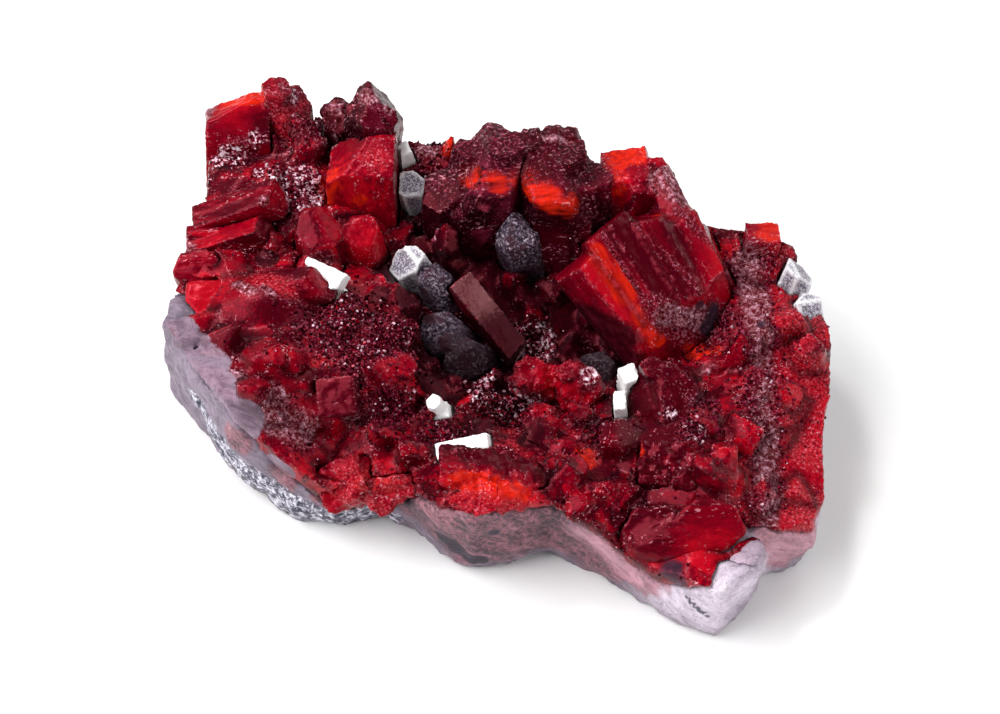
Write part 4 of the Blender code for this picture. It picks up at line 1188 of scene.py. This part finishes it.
class RUBY_OT_crust(bpy.types.Operator):
    """Adds the crust of rubies"""

    bl_idname = "ruby.crust"
    bl_label = "Crust"

    def execute(self, context):
        sizes = context.scene.ruby_sizes
        rng = np.random.default_rng(SEED)
        piece = merged_copy("ruby_crust", "ruby_crust_grown")
        join(piece, self.shoots(piece, sizes.shoots, rng), added_crystals("ruby_crust", rng))
        add_domes(piece, "ruby_crust")
        facets = Facets(piece.data, rng)
        remesh(piece, sizes.crust_detail)
        facets.note(piece.data)
        note_patches(piece, *RUBY_PATCHES, *MARBLE_PATCHES, "calm", "stone")
        self.roughen_grainy(piece)
        smooth(piece, 32)
        finish_piece(piece, self.finish(context.scene.ruby_colours), RED, "ruby_crust")
        return {"FINISHED"}

    def finish(self, colours):
        return ruby_material(
            "ruby_crust", UPRIGHT_WAY, (colours.deep, colours.mid, colours.bright), stretch=2,
            striped=0.15, broken=0.32, speckled=0.6, gleaming=0.45, stone=True
        )

    def roughen_grainy(self, piece):
        """Roughens the crust most where it is dusty or sandy."""
        grainy = piece.vertex_groups.new(name="grainy")
        weights = np.maximum(read(piece.data, "dust"), read(piece.data, "sand"))
        for index, weight in enumerate(weights):
            grainy.add([index], 0.1 + 0.9 * weight, "REPLACE")
        roughen(piece, 0.9 * MM, 0.4 * MM, "VORONOI", "grainy")

    def away_from_rim(self, places):
        """True for the places that have crust all round them."""
        crust = face_tree(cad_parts["ruby_crust"].data)
        around = [Vector((math.cos(turn), math.sin(turn), 0)) * 2.8 * MM for turn in range(7)]
        above, down, depth = Vector((0, 0, 4 * MM)), Vector((0, 0, -1)), 9 * MM
        return np.array([
            all(crust.ray_cast(Vector(place) + above + step, down, depth)[0] is not None for step in around)
            for place in places
        ])

    def away_from(self, nodes, places):
        """True for the places that aren't in or beside the boxes of the nodes."""
        kept = np.ones(len(places), dtype=bool)
        margin = 2 * MM
        for node in nodes:
            low, high = np.array(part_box(node))
            kept &= (places < low - margin).any(axis=1) | (places > high + margin).any(axis=1)
        return kept

    def shoots(self, crust, count, rng):
        """Crystals that stand up out of the crust, each leaning the way that its neighbours do."""
        sites = scattered(crust, shoot_weight, rng, count)
        kept = self.away_from_rim(sites["place"])
        kept &= self.away_from((*WHITE_CRYSTALS, *FROSTED_CRYSTALS), sites["place"])
        sites = {name: value[kept] for name, value in sites.items()}
        x, y, _ = sites["place"].T / MM
        drift = np.stack([np.sin(x / 9 + 1), np.sin(y / 8 + x / 15), 0 * x + 1.2], axis=1)
        sites["normal"] = unit(sites["normal"] * 0.5 + drift * 0.5)
        widths = rng.uniform(2.0, 5.0, len(x)) * MM
        shapes = cut_crystals(SHOOT_SHAPES)
        lengths = np.minimum(widths, 2.6 * MM) * rng.uniform(0.4, 0.9, len(x))
        return joined_crystals("shoots", sites, widths, lengths, shapes, 0.12, rng, turned=EVEN_TURN)


class RUBY_OT_rubies(bpy.types.Operator):
    """Adds the rubies that stand clear of the crust"""

    bl_idname = "ruby.rubies"
    bl_label = "Rubies"

    def execute(self, context):
        finishes = {}
        for number, (node, look) in enumerate(RUBY_FINISHES.items()):
            if look not in finishes:
                finishes[look] = ruby_finish(*look)
            rng = np.random.default_rng([SEED, number])
            _, way = look
            piece = self.ruby(node, way, context.scene.ruby_sizes.crystal_detail, rng)
            finish_piece(piece, finishes[look], RED, node)
        return {"FINISHED"}

    def ruby(self, node, way, detail, rng):
        piece = grown_copy(node, rng)
        if node in STEPPED:
            join(piece, self.steps(piece, rng))
        facets = Facets(piece.data, rng)
        remesh(piece, detail)
        if node == "striated_ruby":
            close_gaps(piece, 0.7 * MM, detail)
        if node in ROUNDED:
            round_off(piece, ROUNDED[node])
        facets.note(piece.data)
        note_patches(piece, *RUBY_PATCHES)
        if node in BROKEN:
            roughen(piece, 1.6 * MM, 1.0 * MM, "VORONOI")
        roughen(piece, 1.2 * MM, 0.25 * MM)
        roughen(piece, 0.7 * MM, 0.2 * MM, along=way, stretch=6)
        smooth(piece, 30)
        return piece

    def steps(self, piece, rng):
        """Low steps on the faces of a crystal, like those that a growing face leaves."""
        size = np.array(piece.dimensions) / MM
        widths = rng.uniform(2.0, 5.0, int(6 + np.prod(size) ** (2 / 3) * 0.06)) * MM
        sunk = 0.35 * widths
        sites = scattered(piece, step_weight, rng, len(widths))
        sites["place"] = sites["place"] - sites["normal"] * sunk[:, None]
        lengths = sunk + rng.uniform(0.1, 0.3, len(widths)) * MM
        shapes = cut_crystals(STEP_SHAPES)
        return joined_crystals("steps", sites, widths, lengths / CRYSTAL_TOP, shapes, 0.0, rng, turned=0.2)


class RUBY_OT_other_crystals(bpy.types.Operator):
    """Adds the black, white and frosted crystals"""

    bl_idname = "ruby.other_crystals"
    bl_label = "Black and white crystals"

    def execute(self, context):
        rng = np.random.default_rng(SEED)
        for nodes, finish, slot in (
            (BLACK_CRYSTALS, black_material(), BLACK),
            (WHITE_CRYSTALS, white_material("white_crystal", 0.0), WHITE),
            (FROSTED_CRYSTALS, white_material("frosted_crystal", 1.0), FROSTED),
        ):
            for node in nodes:
                piece = grown_copy(node, rng)
                facets = Facets(piece.data, rng)
                remesh(piece, context.scene.ruby_sizes.crystal_detail)
                facets.note(piece.data)
                note_patches(piece, "dark")
                roughen(piece, 1.0 * MM, 0.25 * MM)
                smooth(piece, 35)
                finish_piece(piece, finish, slot, node)
        return {"FINISHED"}


class RUBY_OT_druse(bpy.types.Operator):
    """Adds the small crystals and the pale grains"""

    bl_idname = "ruby.druse"
    bl_label = "Druse"

    def execute(self, context):
        rng = np.random.default_rng(SEED)
        sizes = context.scene.ruby_sizes
        finish = druse_material()
        crust = bpy.data.objects["ruby_crust_grown"]
        shapes = cut_crystals(DRUSE_SHAPES)
        druse = self.small_crystals(crust, sizes.druse, shapes, rng)
        join(druse, self.pale_crystals(crust, sizes.glitter, shapes, rng))
        finish_piece(druse, finish, RED)
        finish_piece(self.pale_grains(crust, sizes.grains, rng), finish, RED)
        return {"FINISHED"}

    def small_crystals(self, crust, count, shapes, rng):
        """Small crystals on the dusty parts of the crust, some of them pale."""
        sites = clear_sites(scattered(crust, druse_weight, rng, count * 2), count)
        count = len(sites["place"])
        widths = rng.uniform(0.18, 0.5, count) * MM
        tones = rng.uniform(0.1, 0.55, count)
        # Painted light and shade: lighter in the lit patches, much darker in the dark patches of the
        # hollow.
        tones = tones + 0.12 * sites["lit"] - 0.12 * sites["dust"] - 0.4 * sites["dark"]
        pale = rng.random(count) < 0.02 + 0.25 * sites["dust"]
        tones[pale] = rng.uniform(0.62, 0.95, pale.sum())
        tones = np.clip(tones, 0, 1)
        lengths = widths * rng.uniform(0.5, 1.0, count)
        return joined_crystals("ruby_druse", sites, widths, lengths, shapes, 0.35, rng, tones)

    def pale_crystals(self, crust, density, shapes, rng):
        """The clusters of the palest crystals, on the crust and on a few of the rubies."""
        hosts = (crust, *(bpy.data.objects[name + "_grown"] for name in GLITTERING))
        sites = joined_sites([scattered(host, glitter_weight, rng, density=density) for host in hosts])
        count = len(sites["place"])
        widths = rng.uniform(0.2, 0.5, count) * MM
        tones = rng.choice([0.1, 0.4, 0.75, 0.9, 1.0], size=count, p=[0.2, 0.15, 0.2, 0.2, 0.25])
        return joined_crystals("glitter", sites, widths, widths * 0.8, shapes, 0.4, rng, tones)

    def pale_grains(self, crust, density, rng):
        """Grains on the crust, and on the edges and the dusty faces of the rubies that stand out of it."""
        on_crust = scattered(crust, crust_grain_weight, rng, density=density)
        parts = [clear_sites(on_crust, len(on_crust["place"]))]
        for node in RUBY_FINISHES:
            if node != "mauve_blade":
                ruby = bpy.data.objects[node + "_grown"]
                parts.append(scattered(ruby, ruby_grain_weight, rng, density=density))
        sites = joined_sites(parts)
        count = len(sites["place"])
        widths = rng.uniform(0.1, 0.28, count) * MM
        # Pale grains on the dusty crust, and partly painted glints where they stand on the rubies' edges.
        tones = rng.choice([0.62, 0.75, 0.9, 1.0], size=count, p=[0.4, 0.35, 0.15, 0.1])
        return joined_crystals("pale_grains", sites, widths, widths, [grain()], 0.5, rng, tones)


class RUBY_OT_stage(bpy.types.Operator):
    """Adds the floor, the lights and the camera"""

    bl_idname = "ruby.stage"
    bl_label = "Stage"

    def execute(self, context):
        self.add_floor()
        self.add_lights(context.scene)
        self.add_camera(context.scene)
        context.scene.view_settings.view_transform = "Standard"
        return {"FINISHED"}

    def add_floor(self):
        bpy.ops.object.select_all(action="DESELECT")
        bpy.ops.mesh.primitive_plane_add(size=6.0)
        floor = bpy.context.object
        floor.name = "floor"
        shader = Shader("floor")
        shader.set(Base_Color=(0.9, 0.9, 0.9, 1), Roughness=0.8)
        floor.data.materials.append(shader.material)

    def add_lights(self, scene):
        world = bpy.data.worlds.new("studio")
        world.use_nodes = True
        background = world.node_tree.nodes["Background"]
        background.inputs["Color"].default_value = (1, 1, 1, 1)
        background.inputs["Strength"].default_value = WORLD_LIGHT
        scene.world = world
        for name, place, width, power in LAMPS:
            light = bpy.data.lights.new(name, "AREA")
            light.size = width
            light.energy = power
            lamp = add_object(name, light)
            lamp.location = place
            lamp.rotation_mode = "QUATERNION"
            lamp.rotation_quaternion = Vector(place).to_track_quat("Z", "Y")

    def add_camera(self, scene):
        azimuth, elevation = math.radians(CAMERA_AZIMUTH), math.radians(CAMERA_ELEVATION)
        level = math.cos(elevation)
        back = Vector((math.sin(azimuth) * level, -math.cos(azimuth) * level, math.sin(elevation)))
        data = bpy.data.cameras.new("camera")
        data.lens = CAMERA_LENS
        data.sensor_width = SENSOR_WIDTH
        data.clip_start = 0.01
        camera = add_object("camera", data)
        camera.location = AIM + back * CAMERA_DISTANCE
        camera.rotation_mode = "QUATERNION"
        camera.rotation_quaternion = back.to_track_quat("Z", "Y")
        scene.camera = camera


OPERATORS = (
    RUBY_OT_marble, RUBY_OT_crust, RUBY_OT_rubies, RUBY_OT_other_crystals, RUBY_OT_druse, RUBY_OT_stage,
)


class RUBY_PT_panel(bpy.types.Panel):
    """Lists the operators, in the order that they are run in"""

    bl_label = "Ruby specimen"
    bl_idname = "RUBY_PT_panel"
    bl_space_type = "VIEW_3D"
    bl_region_type = "UI"
    bl_category = "Ruby"

    def draw(self, context):
        for operator in OPERATORS:
            self.layout.operator(operator.bl_idname)


CLASSES = (RubyColours, RubySizes, *OPERATORS, RUBY_PT_panel)


def register():
    for cls in CLASSES:
        bpy.utils.register_class(cls)
    bpy.types.Scene.ruby_colours = bpy.props.PointerProperty(type=RubyColours)
    bpy.types.Scene.ruby_sizes = bpy.props.PointerProperty(type=RubySizes)


def unregister():
    del bpy.types.Scene.ruby_colours
    del bpy.types.Scene.ruby_sizes
    for cls in reversed(CLASSES):
        bpy.utils.unregister_class(cls)


def main():
    register()
    bpy.ops.ruby.marble()
    bpy.ops.ruby.crust()
    bpy.ops.ruby.rubies()
    bpy.ops.ruby.other_crystals()
    bpy.ops.ruby.druse()
    bpy.ops.ruby.stage()


if __name__ == "__main__":
    main()
